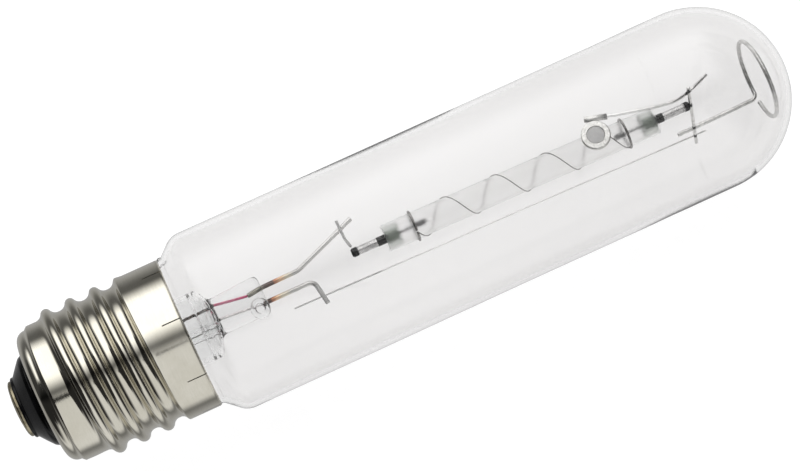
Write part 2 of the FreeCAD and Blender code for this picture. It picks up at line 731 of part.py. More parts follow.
def arc_end(place, end, outside):
    """One end of the arc tube: plug, sealing frit, niobium feedthrough, weld collar and electrode.

    Lengths run inwards from the tube's end face; outside is how far the feedthrough stands out."""
    reach = "Sizes.tube_radius - Sizes.tube_wall"
    plug = turned(
        f"plug_{end}_body",
        [
            ("Sizes.plug_set_in", "Sizes.tube_radius"),
            ("Sizes.plug_set_in", "Sizes.arc_radius - Sizes.arc_wall"),
            ("Sizes.plug_set_in + Sizes.plug_length", "Sizes.arc_radius - Sizes.arc_wall"),
            ("Sizes.plug_set_in + Sizes.plug_length", "Sizes.electrode_radius + 0.15"),
            ("Sizes.tube_inside", "Sizes.electrode_radius + 0.15"),
            ("Sizes.tube_inside", "Sizes.tube_radius"),
        ],
        place,
    )
    keep(plug, f"end_plug_{end}")
    frit = turned(
        f"frit_{end}_body",
        [
            ("Sizes.plug_set_in - Sizes.frit_length", "Sizes.tube_radius"),
            ("Sizes.plug_set_in - Sizes.frit_length", "Sizes.frit_radius"),
            ("Sizes.plug_set_in", "Sizes.frit_radius"),
            ("Sizes.plug_set_in", "Sizes.tube_radius"),
        ],
        place,
    )
    keep(frit, f"sealing_frit_{end}")
    tube = turned(
        f"feedthrough_{end}_body",
        [
            (f"-({outside})", "0"),
            (f"-({outside})", "Sizes.tube_radius - 0.2"),
            (f"0.3 - ({outside})", "Sizes.tube_radius"),
            ("Sizes.tube_inside", "Sizes.tube_radius"),
            ("Sizes.tube_inside", "Sizes.electrode_radius"),
            ("Sizes.tube_inside - Sizes.tube_end_wall", "Sizes.electrode_radius"),
            ("Sizes.tube_inside - Sizes.tube_end_wall", reach),
            (f"Sizes.tube_end_wall - ({outside})", reach),
            (f"Sizes.tube_end_wall - ({outside})", "0"),
        ],
        place,
    )
    keep(tube, f"feedthrough_{end}")
    collar = turned(
        f"collar_{end}_body",
        [
            (f"0.35 - ({outside})", "Sizes.tube_radius"),
            (f"0.35 - ({outside})", "Sizes.collar_radius"),
            (f"0.35 - ({outside}) + Sizes.collar_length", "Sizes.collar_radius"),
            (f"0.35 - ({outside}) + Sizes.collar_length", "Sizes.tube_radius"),
        ],
        place,
    )
    keep(collar, f"weld_collar_{end}")
    shank = doc.addObject("Part::Cylinder", f"electrode_{end}_rod")
    bind(
        shank,
        Radius="Sizes.electrode_radius",
        Height="Sizes.electrode_reach - Sizes.tube_inside + Sizes.tube_end_wall",
    )
    start = size("tube_inside") - size("tube_end_wall")
    shank.Placement = place.multiply(Placement(Vector(start, 0, 0), ALONG_X))
    keep(shank, f"electrode_{end}")
    helix = doc.addObject("Part::Helix", f"coil_{end}_helix")
    bind(
        helix,
        Pitch="Sizes.coil_pitch",
        Height="Sizes.coil_pitch * Sizes.coil_turns",
        Radius="Sizes.electrode_radius + Sizes.coil_wire",
    )
    helix.Placement = place.multiply(Placement(Vector(size("coil_start"), 0, 0), ALONG_X))
    keep(on_helix(f"coil_{end}_wire", helix, "Sizes.coil_wire"), f"electrode_coil_{end}")


def on_helix(name, helix, radius):
    """A round wire of the named radius on a Part::Helix."""
    doc.recompute()
    edges = helix.Shape.Edges
    edge = edges[0]
    section = doc.addObject("Part::Circle", name + "_section")
    bind(section, Radius=radius)
    start = edge.valueAt(edge.FirstParameter)
    section.Placement = Placement(start, Rotation(Vector(0, 0, 1), edge.tangentAt(edge.FirstParameter)))
    sweep = doc.addObject("Part::Sweep", name)
    sweep.Sections = [section]
    sweep.Spine = (helix, [f"Edge{i + 1}" for i in range(len(edges))])
    sweep.Solid = True
    sweep.Frenet = True
    return sweep


def arc_tube():
    """Translucent alumina arc tube with its two ends, dose and starting antenna."""
    tube = turned(
        "arc_tube_body",
        [
            ("0", "Sizes.arc_radius - Sizes.arc_wall"),
            ("0", "Sizes.arc_radius"),
            ("Sizes.arc_length", "Sizes.arc_radius"),
            ("Sizes.arc_length", "Sizes.arc_radius - Sizes.arc_wall"),
        ],
        BASE_END,
    )
    keep(tube, "arc_tube")
    arc_end(BASE_END, "base", "Sizes.tube_outside")
    arc_end(DOME_END, "dome", "Sizes.tube_outside + 0.3")
    dose = doc.addObject("Part::Sphere", "dose_ball")
    dose.Radius = 0.6
    rest = size("arc_radius") - size("arc_wall") - 0.6
    dose.Placement = BASE_END.multiply(Placement(Vector(6.2, 0, -rest), Rotation()))
    keep(dose, "amalgam_dose")
    keep(antenna(), "starting_antenna")


def antenna():
    """Starting wire on the arc tube: a closed loop near each end and an open helix from loop to loop."""
    first = size("antenna_inset")
    last = size("arc_length") - size("dome_loop_inset")
    pieces = []
    for end, along in (("base", first), ("dome", last)):
        loop = doc.addObject("Part::Torus", f"antenna_loop_{end}")
        bind(
            loop,
            Radius1="Sizes.arc_radius + Sizes.antenna_loop_wire + 0.02",
            Radius2="Sizes.antenna_loop_wire",
        )
        loop.Placement = BASE_END.multiply(Placement(Vector(along, 0, 0), ALONG_X))
        pieces.append(loop)
    clear = 0.86 * (size("antenna_wire") + size("antenna_loop_wire"))
    helix = doc.addObject("Part::Helix", "antenna_helix")
    bind(helix, Pitch="Sizes.antenna_pitch", Radius="Sizes.arc_radius + Sizes.antenna_wire + 0.02")
    helix.Height = last - first - 2 * clear
    helix.SegmentLength = 0.5
    phase = Rotation(X_AXIS, 360 * (first + clear - size("antenna_top")) / size("antenna_pitch"))
    helix.Placement = BASE_END.multiply(Placement(Vector(first + clear, 0, 0), phase.multiply(ALONG_X)))
    pieces.append(on_helix("antenna_wire_body", helix, "Sizes.antenna_wire"))
    wires = doc.addObject("Part::Compound", "antenna_wires")
    wires.Links = pieces
    return wires


# ----------------------------------------------------------------------- getter


def getter():
    """Flanged pan with its disc of alloy, on a strip welded to a bent support wire."""
    lean = size("getter_lean")
    place = Placement(
        Vector(size("getter_place"), size("getter_side"), size("getter_height")),
        Rotation(Vector(1, 0, 0), -lean) * Rotation(Vector(0, 1, 0), -90),
    )
    skin = "Sizes.getter_sheet"
    pan = turned(
        "getter_pan",
        [
            ("Sizes.getter_pan", "0"),
            ("Sizes.getter_pan", f"Sizes.getter_inner + {skin}"),
            (f"Sizes.getter_depth - {skin}", f"Sizes.getter_inner + {skin}"),
            (f"Sizes.getter_depth - {skin}", f"Sizes.getter_outer - {skin}"),
            ("0", f"Sizes.getter_outer - {skin}"),
            ("0", "Sizes.getter_outer"),
            ("Sizes.getter_depth", "Sizes.getter_outer"),
            ("Sizes.getter_depth", "Sizes.getter_inner"),
            (f"Sizes.getter_pan + {skin}", "Sizes.getter_inner"),
            (f"Sizes.getter_pan + {skin}", "0"),
        ],
        place,
    )
    keep(pan, "getter_ring")
    fill = turned(
        "getter_alloy",
        [
            (f"Sizes.getter_pan + {skin}", "0"),
            (f"Sizes.getter_pan + {skin}", "Sizes.getter_inner"),
            ("Sizes.getter_depth - 0.2", "Sizes.getter_inner"),
            ("Sizes.getter_depth - 0.2", "0"),
        ],
        place,
    )
    keep(fill, "getter_fill")
    tab = doc.addObject("Part::Box", "getter_tab")
    bind(tab, Length="Sizes.strip_length", Width="Sizes.strip_width", Height="Sizes.strip_thickness")
    tab.Placement = Placement(
        Vector(153.7, 6.51, size("strip_height")),
        Rotation(Vector(0, 0, 1), -15.7) * Rotation(Vector(1, 0, 0), -6),
    )
    strip = keep(seated("getter_tab_seated", tab, pan), "getter_strip")
    weld = beside_cross(2.9, size("cross_radius") + size("getter_wire_radius"), -1)
    under = size("strip_height") - size("getter_wire_radius")
    route = [
        (155.8, 6.8, under - 0.1),
        (161.1, 5.3, under - 0.05),
        (166.1, 4.1, 4.0),
        (171.0, 2.95, 4.2),
        (176.3, 2.1, 3.8),
        (weld.x, weld.y, weld.z),
        (186.0, 4.95, 3.6),
    ]
    support = swept("getter_support", rounded_path(route, 12), "Sizes.getter_wire_radius")
    welded_to = fuse("getter_support_seats", [strip, doc.getObject("cross_dome")])
    keep(seated("getter_support_seated", support, welded_to), "getter_wire")


# ------------------------------------------------------------------------ build


def build():
    cap_shell()
    cap_insulator()
    contact()
    outer_bulb()
    stem()
    exhaust_tube()
    lead_wires()
    supports()
    arc_tube()
    getter()
    doc.recompute()


def write():
    """Checks every object's state and every sub-part's solid, then writes one STEP per sub-part."""
    os.makedirs(OUT, exist_ok=True)
    for old in os.listdir(OUT):
        if old.endswith(".step"):
            os.remove(os.path.join(OUT, old))
    failed = [o.Name for o in doc.Objects if {"Invalid", "Error"} & set(o.State)]
    if failed:
        raise RuntimeError(f"objects failed to recompute: {failed}")
    for item in nodes:
        shape = item.Shape
        if shape.isNull() or not shape.isValid() or not shape.Solids:
            raise RuntimeError(f"{item.Label} has no valid solid")
        print(f"{item.Label:22s} solids {len(shape.Solids)} volume {shape.Volume:10.3f}")
        shape.exportStep(os.path.join(OUT, item.Label + ".step"))


build()
write()
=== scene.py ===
"""A clear tubular sodium grow lamp lying on a pale table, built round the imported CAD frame.

Lengths in this file are millimetres in the frame's axes, and MM turns them into Blender's metres.
The lamp's axis is +X, from the cap's contact to the glass dome, and +Z points up.
"""

import json
import math

import bpy
import numpy as np
from mathutils import Matrix, Vector


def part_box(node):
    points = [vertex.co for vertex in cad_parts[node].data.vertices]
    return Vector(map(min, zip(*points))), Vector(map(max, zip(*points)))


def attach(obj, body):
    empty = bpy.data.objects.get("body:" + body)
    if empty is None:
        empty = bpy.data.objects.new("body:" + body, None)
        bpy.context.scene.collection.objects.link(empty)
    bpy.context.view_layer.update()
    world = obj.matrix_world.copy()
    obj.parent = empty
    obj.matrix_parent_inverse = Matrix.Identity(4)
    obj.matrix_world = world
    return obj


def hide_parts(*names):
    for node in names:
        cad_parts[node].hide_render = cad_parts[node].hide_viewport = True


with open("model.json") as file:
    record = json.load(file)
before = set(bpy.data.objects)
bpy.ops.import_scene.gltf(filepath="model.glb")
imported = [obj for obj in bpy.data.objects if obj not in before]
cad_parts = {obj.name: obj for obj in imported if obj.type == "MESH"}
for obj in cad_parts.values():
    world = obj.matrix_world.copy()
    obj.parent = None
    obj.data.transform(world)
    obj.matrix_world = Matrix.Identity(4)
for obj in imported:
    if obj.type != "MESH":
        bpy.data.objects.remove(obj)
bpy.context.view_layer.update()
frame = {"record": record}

MM = 0.001
TAU = 2 * math.pi

# Stations and sizes that pieces share. They follow the CAD, apart from a thread 0.02 mm deeper.
PITCH = 6.35
ROOT = 17.73
THREAD_DEPTH = 1.92
CREST_ROUND = 1.35
ROOT_ROUND = 2.0
GROOVE_FIRST = 12.63
GROOVE_TURNS = 3.6
SHEET = 0.4
SKIRT = 19.3
RIM = 45.5
SLIT_START = 40.6
SLIT_HALF = 0.15
SLIT_COUNT = 8
SLIT_ANGLE = 78.0
BULB_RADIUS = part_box("outer_bulb")[1][1] / MM
BULB_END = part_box("outer_bulb")[1][0] / MM
BULB_WALL = 1.1
DOME_CENTRE = BULB_END - BULB_RADIUS
NECK = 16.4
LAND = 18.9
SHOULDER = 45.4
MOUNT = -0.9
FLOOR = -BULB_RADIUS


# Spot welds on the mount's wires.
WELDS = [
    (179.5, 2.6, 6.3),
    (180.2, -0.1, 0.0),
    (180.3, -5.4, -9.3),
    (180.4, -7.4, -12.8),
]


# ----------------------------------------------------------------- mesh helpers


def mesh_object(name, points, faces, sharp=40):
    """A smooth-shaded object from points in millimetres, creased where faces turn by over sharp degrees."""
    mesh = bpy.data.meshes.new(name)
    mesh.from_pydata([tuple(p) for p in np.asarray(points, float) * MM], [], faces)
    mesh.update()
    mesh.polygons.foreach_set("use_smooth", [True] * len(mesh.polygons))
    mesh.set_sharp_from_angle(angle=math.radians(sharp))
    obj = bpy.data.objects.new(name, mesh)
    bpy.context.scene.collection.objects.link(obj)
    return obj


def rounded(corners, steps=8, axes=2):
    """Points along a line through the corners; a corner with one number more than its axes is rounded by an
    arc of that radius."""
    places = [np.array(c[:axes], float) for c in corners]
    radii = [c[axes] if len(c) > axes else 0 for c in corners]
    points = [places[0]]
    for i in range(1, len(places) - 1):
        here = places[i]
        back, on = places[i - 1] - here, places[i + 1] - here
        back_length, on_length = np.linalg.norm(back), np.linalg.norm(on)
        back, on = back / back_length, on / on_length
        opening = math.acos(max(-1.0, min(1.0, float(back @ on))))
        if radii[i] == 0 or math.pi - opening < 1e-3:
            points.append(here)
            continue
        reach = min(radii[i] / math.tan(opening / 2), 0.499 * back_length, 0.499 * on_length)
        radius = reach * math.tan(opening / 2)
        middle = (back + on) / np.linalg.norm(back + on)
        centre = here + middle * radius / math.sin(opening / 2)
        start, end = here + back * reach - centre, here + on * reach - centre
        sweep = math.pi - opening
        for k in range(steps + 1):
            share = k / steps
            a = math.sin((1 - share) * sweep) / math.sin(sweep)
            b = math.sin(share * sweep) / math.sin(sweep)
            points.append(centre + a * start + b * end)
    points.append(places[-1])
    return np.array(points)


def arc_points(centre, radius, first, last, steps=24):
    """Points on an arc in (x, radius), angles in degrees from +x."""
    return [
        (
            centre[0] + radius * math.cos(math.radians(first + (last - first) * k / steps)),
            centre[1] + radius * math.sin(math.radians(first + (last - first) * k / steps)),
        )
        for k in range(steps + 1)
    ]


def resampled(points, spacing):
    """The same line with extra points so that no step is longer than spacing."""
    out = [points[0]]
    for a, b in zip(points[:-1], points[1:]):
        count = max(1, math.ceil(np.linalg.norm(b - a) / spacing))
        out.extend(a + (b - a) * k / count for k in range(1, count + 1))
    return np.array(out)


def lathe(name, profile, sides=96, place=None, sharp=40):
    """A solid turned about X from (x, radius) points: a closed loop, or a line from the axis to the axis."""
    profile = np.asarray(profile, float)
    on_axis = profile[0][1] < 1e-6 and profile[-1][1] < 1e-6
    angles = np.arange(sides) * TAU / sides
    points, rings = [], []
    for x, radius in profile:
        if radius < 1e-6:
            rings.append([len(points)])
            points.append((x, 0, 0))
            continue
        rings.append(list(range(len(points), len(points) + sides)))
        points.extend((x, radius * math.cos(angle), radius * math.sin(angle)) for angle in angles)
    pairs = list(zip(rings[:-1], rings[1:]))
    if not on_axis:
        pairs.append((rings[-1], rings[0]))
    faces = []
    for first, second in pairs:
        for k in range(sides):
            j = (k + 1) % sides
            if len(first) == 1:
                faces.append((first[0], second[j], second[k]))
            elif len(second) == 1:
                faces.append((first[k], first[j], second[0]))
            else:
                faces.append((first[k], first[j], second[j], second[k]))
    if place is not None:
        points = [place(p) for p in points]
    obj = mesh_object(name, points, faces, sharp)
    make_outward(obj)
    return obj


def make_outward(obj):
    """Turns the faces outward by the sign of the mesh's volume."""
    mesh = obj.data
    mesh.calc_loop_triangles()
    corners = np.array([v.co for v in mesh.vertices])
    tris = np.array([t.vertices for t in mesh.loop_triangles])
    a, b, c = corners[tris[:, 0]], corners[tris[:, 1]], corners[tris[:, 2]]
    if np.einsum("ij,ij->i", a, np.cross(b, c)).sum() < 0:
        mesh.flip_normals()


def sweep(name, path, radius, sides=20, spacing=0.6, flat_end=0.12):
    """A round wire along a path, with softened ends."""
    path = resampled(np.asarray(path, float), spacing)
    tangents = np.gradient(path, axis=0)
    tangents /= np.linalg.norm(tangents, axis=1)[:, None]
    side = np.cross(tangents[0], (0, 0, 1.0) if abs(tangents[0][2]) < 0.9 else (0, 1.0, 0))
    side /= np.linalg.norm(side)
    stations = [(path[0], tangents[0], side, radius - flat_end)]
    step = tangents[0] * flat_end
    stations.append((path[0] + step, tangents[0], side, radius))
    for p, t in zip(path[1:-1], tangents[1:-1]):
        side = side - t * (side @ t)
        side /= np.linalg.norm(side)
        if np.linalg.norm(p - stations[-1][0]) < flat_end:
            continue
        stations.append((p, t, side, radius))
    side = side - tangents[-1] * (side @ tangents[-1])
    side /= np.linalg.norm(side)
    stations.append((path[-1] - tangents[-1] * flat_end, tangents[-1], side, radius))
    stations.append((path[-1], tangents[-1], side, radius - flat_end))
    points, faces = [], []
    for p, t, s, r in stations:
        up = np.cross(s, t)
        for k in range(sides):
            angle = TAU * k / sides
            points.append(p + r * (s * math.cos(angle) + up * math.sin(angle)))
    for i in range(len(stations) - 1):
        for k in range(sides):
            j = (k + 1) % sides
            faces.append((i * sides + k, i * sides + j, (i + 1) * sides + j, (i + 1) * sides + k))
    faces.append(tuple(range(sides)))
    last = (len(stations) - 1) * sides
    faces.append(tuple(last + k for k in reversed(range(sides))))
    obj = mesh_object(name, points, faces)
    make_outward(obj)
    return obj


def grid_faces(rows, columns, offset):
    """Quads of a grid of points stored row by row, each row closed on itself."""
    return [
        (
            offset + i * columns + k,
            offset + i * columns + (k + 1) % columns,
            offset + (i + 1) * columns + (k + 1) % columns,
            offset + (i + 1) * columns + k,
        )
        for i in range(rows - 1)
        for k in range(columns)
    ]


# ------------------------------------------------------------------ node helpers


class Nodes:
    """Short hands for wiring one material's nodes."""

    def __init__(self, name):
        self.material = bpy.data.materials.new(name)
        self.material.use_nodes = True
        self.tree = self.material.node_tree
        self.shader = self.tree.nodes["Principled BSDF"]
        self.place = self.tree.nodes.new("ShaderNodeTexCoord").outputs["Object"]

    def link(self, output, target):
        self.tree.links.new(output, target)
        return output

    def set(self, **values):
        for name, value in values.items():
            self.shader.inputs[name.replace("_", " ")].default_value = value
        return self

    def noise(self, scale, detail=4.0, stretch=(1, 1, 1), distortion=0.0, roughness=0.55):
        mapping = self.tree.nodes.new("ShaderNodeMapping")
        mapping.inputs["Scale"].default_value = stretch
        self.link(self.place, mapping.inputs["Vector"])
        noise = self.tree.nodes.new("ShaderNodeTexNoise")
        noise.inputs["Scale"].default_value = scale
        noise.inputs["Detail"].default_value = detail
        noise.inputs["Distortion"].default_value = distortion
        noise.inputs["Roughness"].default_value = roughness
        self.link(mapping.outputs["Vector"], noise.inputs["Vector"])
        return noise.outputs["Fac"]

    def along(self, axis, low, high):
        """0 to 1 from low to high millimetres along an axis."""
        split = self.tree.nodes.new("ShaderNodeSeparateXYZ")
        self.link(self.place, split.inputs["Vector"])
        return self.spread(split.outputs[axis], low * MM, high * MM, 0, 1)

    def near(self, point, inner, outer):
        """1 within inner millimetres of a point, falling to 0 at outer."""
        node = self.tree.nodes.new("ShaderNodeVectorMath")
        node.operation = "DISTANCE"
        self.link(self.place, node.inputs[0])
        node.inputs[1].default_value = tuple(value * MM for value in point)
        return self.spread(node.outputs["Value"], inner * MM, outer * MM, 1, 0)

    def spread(self, value, low, high, to_low, to_high):
        node = self.tree.nodes.new("ShaderNodeMapRange")
        for name, number in (
            ("From Min", low),
            ("From Max", high),
            ("To Min", to_low),
            ("To Max", to_high),
        ):
            node.inputs[name].default_value = number
        self.link(value, node.inputs["Value"])
        return node.outputs["Result"]

    def ramp(self, value, *stops):
        node = self.tree.nodes.new("ShaderNodeValToRGB")
        ramp = node.color_ramp
        ramp.interpolation = "EASE"
        while len(ramp.elements) < len(stops):
            ramp.elements.new(0.5)
        for element, (at, colour) in zip(ramp.elements, stops):
            element.position = at
            element.color = (*colour, 1)
        self.link(value, node.inputs["Fac"])
        return node.outputs["Color"]

    def mixed(self, share, first, second):
        """Two colours, each a socket or a triple, mixed by a socket or a number."""
        node = self.tree.nodes.new("ShaderNodeMix")
        node.data_type = "RGBA"
        for socket, value in ((node.inputs[0], share), (node.inputs[6], first), (node.inputs[7], second)):
            if isinstance(value, bpy.types.NodeSocket):
                self.link(value, socket)
            elif isinstance(value, tuple):
                socket.default_value = (*value, 1)
            else:
                socket.default_value = value
        return node.outputs[2]

    def math(self, operation, first, second):
        node = self.tree.nodes.new("ShaderNodeMath")
        node.operation = operation
        for socket, value in zip(node.inputs, (first, second)):
            if isinstance(value, bpy.types.NodeSocket):
                self.link(value, socket)
            else:
                socket.default_value = value
        return node.outputs["Value"]

    def bump(self, height, distance, strength=1.0):
        node = self.tree.nodes.new("ShaderNodeBump")
        node.inputs["Strength"].default_value = strength
        node.inputs["Distance"].default_value = distance * MM
        self.link(height, node.inputs["Height"])
        self.link(node.outputs["Normal"], self.shader.inputs["Normal"])

    def base(self, colour):
        self.link(colour, self.shader.inputs["Base Color"])

    def rough(self, value):
        self.link(value, self.shader.inputs["Roughness"])


def metal(name, dark, light, rough=(0.2, 0.35), grain=900, streak=(1, 1, 1), bump=0.01):
    """A metal whose tone, polish and surface vary with noise at the piece's own scale."""
    n = Nodes(name).set(Metallic=1.0)
    tone = n.noise(grain, 6, streak)
    n.base(n.ramp(tone, (0.3, dark), (0.7, light)))
    n.rough(n.spread(n.noise(grain * 1.7, 4, streak), 0.3, 0.7, *rough))
    n.bump(n.noise(grain * 2.3, 3, streak), bump)
    return n.material


# ------------------------------------------------------------------------ looks


def nickel():
    """Rolled nickel-plated sheet: fine lines round the cap, soft blotches and duller patches."""
    n = Nodes("nickel_plate").set(Metallic=1.0)
    lines = n.noise(900, 3, (6, 0.35, 0.35))
    blotch = n.noise(95, 5)
    tone = n.ramp(blotch, (0.32, (0.585, 0.56, 0.48)), (0.68, (0.66, 0.635, 0.56)))
    tone = n.mixed(n.spread(lines, 0.35, 0.7, 0.0, 0.2), tone, (0.46, 0.44, 0.38))
    n.base(tone)
    polish = n.spread(blotch, 0.3, 0.7, 0.05, 0.12)
    n.rough(n.math("ADD", polish, n.spread(lines, 0.3, 0.7, 0.0, 0.05)))
    n.bump(n.math("ADD", lines, n.math("MULTIPLY", n.noise(300, 4), 0.6)), 0.004)
    return n.material


def black_glass():
    n = Nodes("black_glass").set(Specular_IOR_Level=0.14, IOR=1.5)
    n.base(n.ramp(n.noise(260, 5), (0.3, (0.002, 0.002, 0.002)), (0.75, (0.007, 0.007, 0.008))))
    n.rough(n.spread(n.noise(150, 4), 0.3, 0.75, 0.08, 0.2))
    n.bump(n.noise(420, 5), 0.03)
    return n.material


def contact_brass():
    n = Nodes("contact_brass").set(Metallic=1.0)
    tarnish = n.noise(330, 6, distortion=0.8)
    n.base(n.ramp(tarnish, (0.3, (0.16, 0.135, 0.085)), (0.7, (0.42, 0.38, 0.27))))
    n.rough(n.spread(n.noise(700, 5), 0.3, 0.7, 0.24, 0.42))
    n.bump(n.noise(900, 5), 0.01)
    return n.material


def clear_glass(name, tint, wave):
    """Clear drawn glass: its surface rolls very slightly and its polish barely varies."""
    n = Nodes(name).set(Transmission_Weight=1.0, IOR=1.473, Specular_Tint=(0.65, 0.65, 0.65, 1.0))
    clearer = tuple(min(1.0, channel + 0.015) for channel in tint)
    n.base(n.ramp(n.noise(14, 2), (0.3, tint), (0.7, clearer)))
    n.rough(n.spread(n.noise(120, 3), 0.35, 0.8, 0.0, 0.012))
    n.bump(n.noise(38, 2, (0.5, 1, 1)), wave)
    return n.material


def heat_tinted_rod():
    """Nickel-plated rod, scorched where it leaves the glass and clean grey farther out; its downward leg is
    painted near-white and rougher as a painted reflection. The return's tints start nearer the glass than the
    arc tube's."""
    n = Nodes("lead_rod").set(Metallic=1.0)
    reach = n.math("ADD", n.along("X", 62, 80), n.spread(n.along("Y", 0, 1), 0, 1, 0.11, 0.0))
    shifted = n.math("ADD", reach, n.spread(n.noise(300, 4), 0.3, 0.7, -0.03, 0.03))
    tint = n.ramp(
        shifted,
        (0.14, (0.34, 0.33, 0.28)),
        (0.26, (0.12, 0.09, 0.08)),
        (0.375, (0.10, 0.06, 0.05)),
        (0.42, (0.50, 0.21, 0.11)),
        (0.48, (0.76, 0.52, 0.34)),
        (0.57, (0.70, 0.65, 0.53)),
        (0.70, (0.60, 0.595, 0.58)),
        (1.0, (0.72, 0.715, 0.70)),
    )
    streaked = n.mixed(n.spread(n.noise(1500, 4, (0.3, 1, 1)), 0.4, 0.7, 0, 0.25), tint, (0.24, 0.23, 0.225))
    # Painted reflection: below Y -1.8 mm the rod's leg is painted near-white to stand in for the bright light
    # it reflects.
    painted_reflection_leg = n.along("Y", -1.8, -2.8)
    n.base(n.mixed(painted_reflection_leg, streaked, (0.95, 0.95, 0.94)))
    clean_rough = n.spread(n.noise(900, 4), 0.3, 0.7, 0.26, 0.42)
    n.rough(n.math("ADD", clean_rough, n.spread(painted_reflection_leg, 0, 1, 0, 0.4)))
    n.bump(n.noise(1700, 4, (0.3, 1, 1)), 0.012)
    return n.material


def support_metal():
    """Nickel-plated wire, painted near-white towards the base as a painted highlight of glare, and burnt dark
    at each spot weld.
    """
    n = Nodes("support_wire").set(Metallic=1.0)
    grey = n.ramp(n.noise(1100, 6), (0.3, (0.54, 0.54, 0.53)), (0.7, (0.82, 0.815, 0.80)))
    # Painted highlight: below X 162 mm the wire is painted near-white to stand in for glare on it, grey
    # beyond 176 mm.
    painted_glare_pale = n.ramp(n.noise(1100, 6), (0.3, (0.90, 0.90, 0.89)), (0.7, (0.98, 0.98, 0.97)))
    clean = n.mixed(n.along("X", 162, 176), painted_glare_pale, grey)
    burnt = n.near(WELDS[0], 0.6, 1.0)
    for weld in WELDS[1:]:
        burnt = n.math("MAXIMUM", burnt, n.near(weld, 0.6, 1.0))
    n.base(n.mixed(burnt, clean, (0.03, 0.03, 0.03)))
    etched = n.spread(n.along("X", 94, 95), 0, 1, 0.45, 0.0)
    n.rough(n.math("ADD", n.spread(n.noise(1870, 4), 0.3, 0.7, 0.26, 0.42), etched))
    n.bump(n.noise(2500, 3), 0.01)
    return n.material


def niobium():
    """Drawn niobium tube, grey, and black where it is welded to the lead or the cross wire."""
    n = Nodes("niobium").set(Metallic=1.0)
    clean = n.ramp(n.noise(1300, 6, (0.4, 1, 1)), (0.3, (0.40, 0.40, 0.40)), (0.7, (0.66, 0.655, 0.65)))
    base_weld = n.spread(n.along("X", 90.7, 91.1), 0, 1, 1, 0)
    dome_weld = n.along("X", 178.0, 178.4)
    n.base(n.mixed(n.math("MAXIMUM", base_weld, dome_weld), clean, (0.035, 0.035, 0.036)))
    n.rough(n.spread(n.noise(900, 4), 0.3, 0.7, 0.2, 0.34))
    n.bump(n.noise(1700, 3), 0.01)
    return n.material


def seal_red():
    """Oxidised sealing wire, red on the arc tube's lead and bare and bright on the return."""
    n = Nodes("seal_wire")
    red = n.ramp(n.noise(900, 4), (0.3, (0.85, 0.12, 0.28)), (0.7, (0.98, 0.36, 0.52)))
    upper = n.along("Y", 0.2, 1.4)
    n.base(n.mixed(upper, (0.95, 0.93, 0.92), red))
    n.link(n.spread(upper, 0, 1, 1.0, 0.5), n.shader.inputs["Metallic"])
    n.rough(n.spread(n.noise(1200, 4), 0.3, 0.7, 0.3, 0.5))
    n.bump(n.noise(2200, 3), 0.01)
    return n.material


def sealing_frit():
    """Sealing glass, black where it stands out and grey-green round the tube inside the plug."""
    n = Nodes("sealing_frit")
    outside = n.ramp(n.noise(1100, 4), (0.3, (0.008, 0.008, 0.009)), (0.7, (0.03, 0.03, 0.03)))
    inside = n.ramp(n.noise(1100, 4), (0.3, (0.50, 0.55, 0.50)), (0.7, (0.62, 0.67, 0.62)))
    middle = n.math("MULTIPLY", n.along("X", 98.5, 98.8), n.along("X", 170.2, 169.9))
    n.base(n.mixed(middle, outside, inside))
    n.rough(n.spread(n.noise(700, 4), 0.3, 0.7, 0.12, 0.25))
    n.bump(n.noise(1700, 3), 0.01)
    return n.material


def alumina(name, dark, light, clear, rough, ior):
    """Sintered alumina: white and translucent, faintly clouded."""
    n = Nodes(name).set(Transmission_Weight=clear, IOR=ior)
    n.base(n.ramp(n.noise(160, 5), (0.3, dark), (0.7, light)))
    n.rough(n.spread(n.noise(420, 4), 0.3, 0.7, *rough))
    n.bump(n.noise(1400, 4), 0.006)
    return n.material


def ceramic(name, dark, light, rough=(0.45, 0.65), grain=900):
    n = Nodes(name)
    n.base(n.ramp(n.noise(grain, 5), (0.3, dark), (0.7, light)))
    n.rough(n.spread(n.noise(grain * 1.4, 4), 0.3, 0.7, *rough))
    n.bump(n.noise(grain * 2, 4), 0.02)
    return n.material


LOOKS = {
    "nickel_plate": nickel(),
    "black_glass": black_glass(),
    "contact_brass": contact_brass(),
    "solder": metal("solder", (0.50, 0.50, 0.49), (0.76, 0.76, 0.75), (0.22, 0.4), 500, bump=0.05),
    "clear_glass": clear_glass("clear_glass", (0.872, 0.867, 0.865), 0.05),
    "stem_glass": clear_glass("stem_glass", (0.95, 0.955, 0.955), 0.12),
    "lead_copper": metal("lead_copper", (0.06, 0.05, 0.045), (0.14, 0.11, 0.09)),
    "seal_wire": seal_red(),
    "lead_rod": heat_tinted_rod(),
    "support_wire": support_metal(),
    "alumina": alumina("alumina", (0.99, 0.99, 0.985), (1.0, 1.0, 1.0), 1.0, (0.5, 0.58), 1.12),
    "plug_ceramic": alumina("plug_ceramic", (0.86, 0.90, 0.86), (0.93, 0.96, 0.93), 0.97, (0.26, 0.34), 1.5),
    "sealing_frit": sealing_frit(),
    "niobium": niobium(),
    "tungsten": metal("tungsten", (0.42, 0.42, 0.425), (0.62, 0.62, 0.62), (0.4, 0.6), 1500),
    "amalgam": metal("amalgam", (0.55, 0.56, 0.57), (0.72, 0.72, 0.72), (0.12, 0.25), 900),
    "starting_wire": metal("starting_wire", (0.20, 0.195, 0.19), (0.40, 0.39, 0.38), (0.3, 0.45), 1500),
    "getter_steel": metal("getter_steel", (0.56, 0.56, 0.54), (0.74, 0.74, 0.72), (0.24, 0.4), 900),
    "getter_alloy": ceramic("getter_alloy", (0.90, 0.90, 0.895), (0.98, 0.98, 0.975), (0.6, 0.8), 1600),
}
SLOT_OF = {part["node"]: part["material_slot"] for part in frame["record"]["subparts"]}


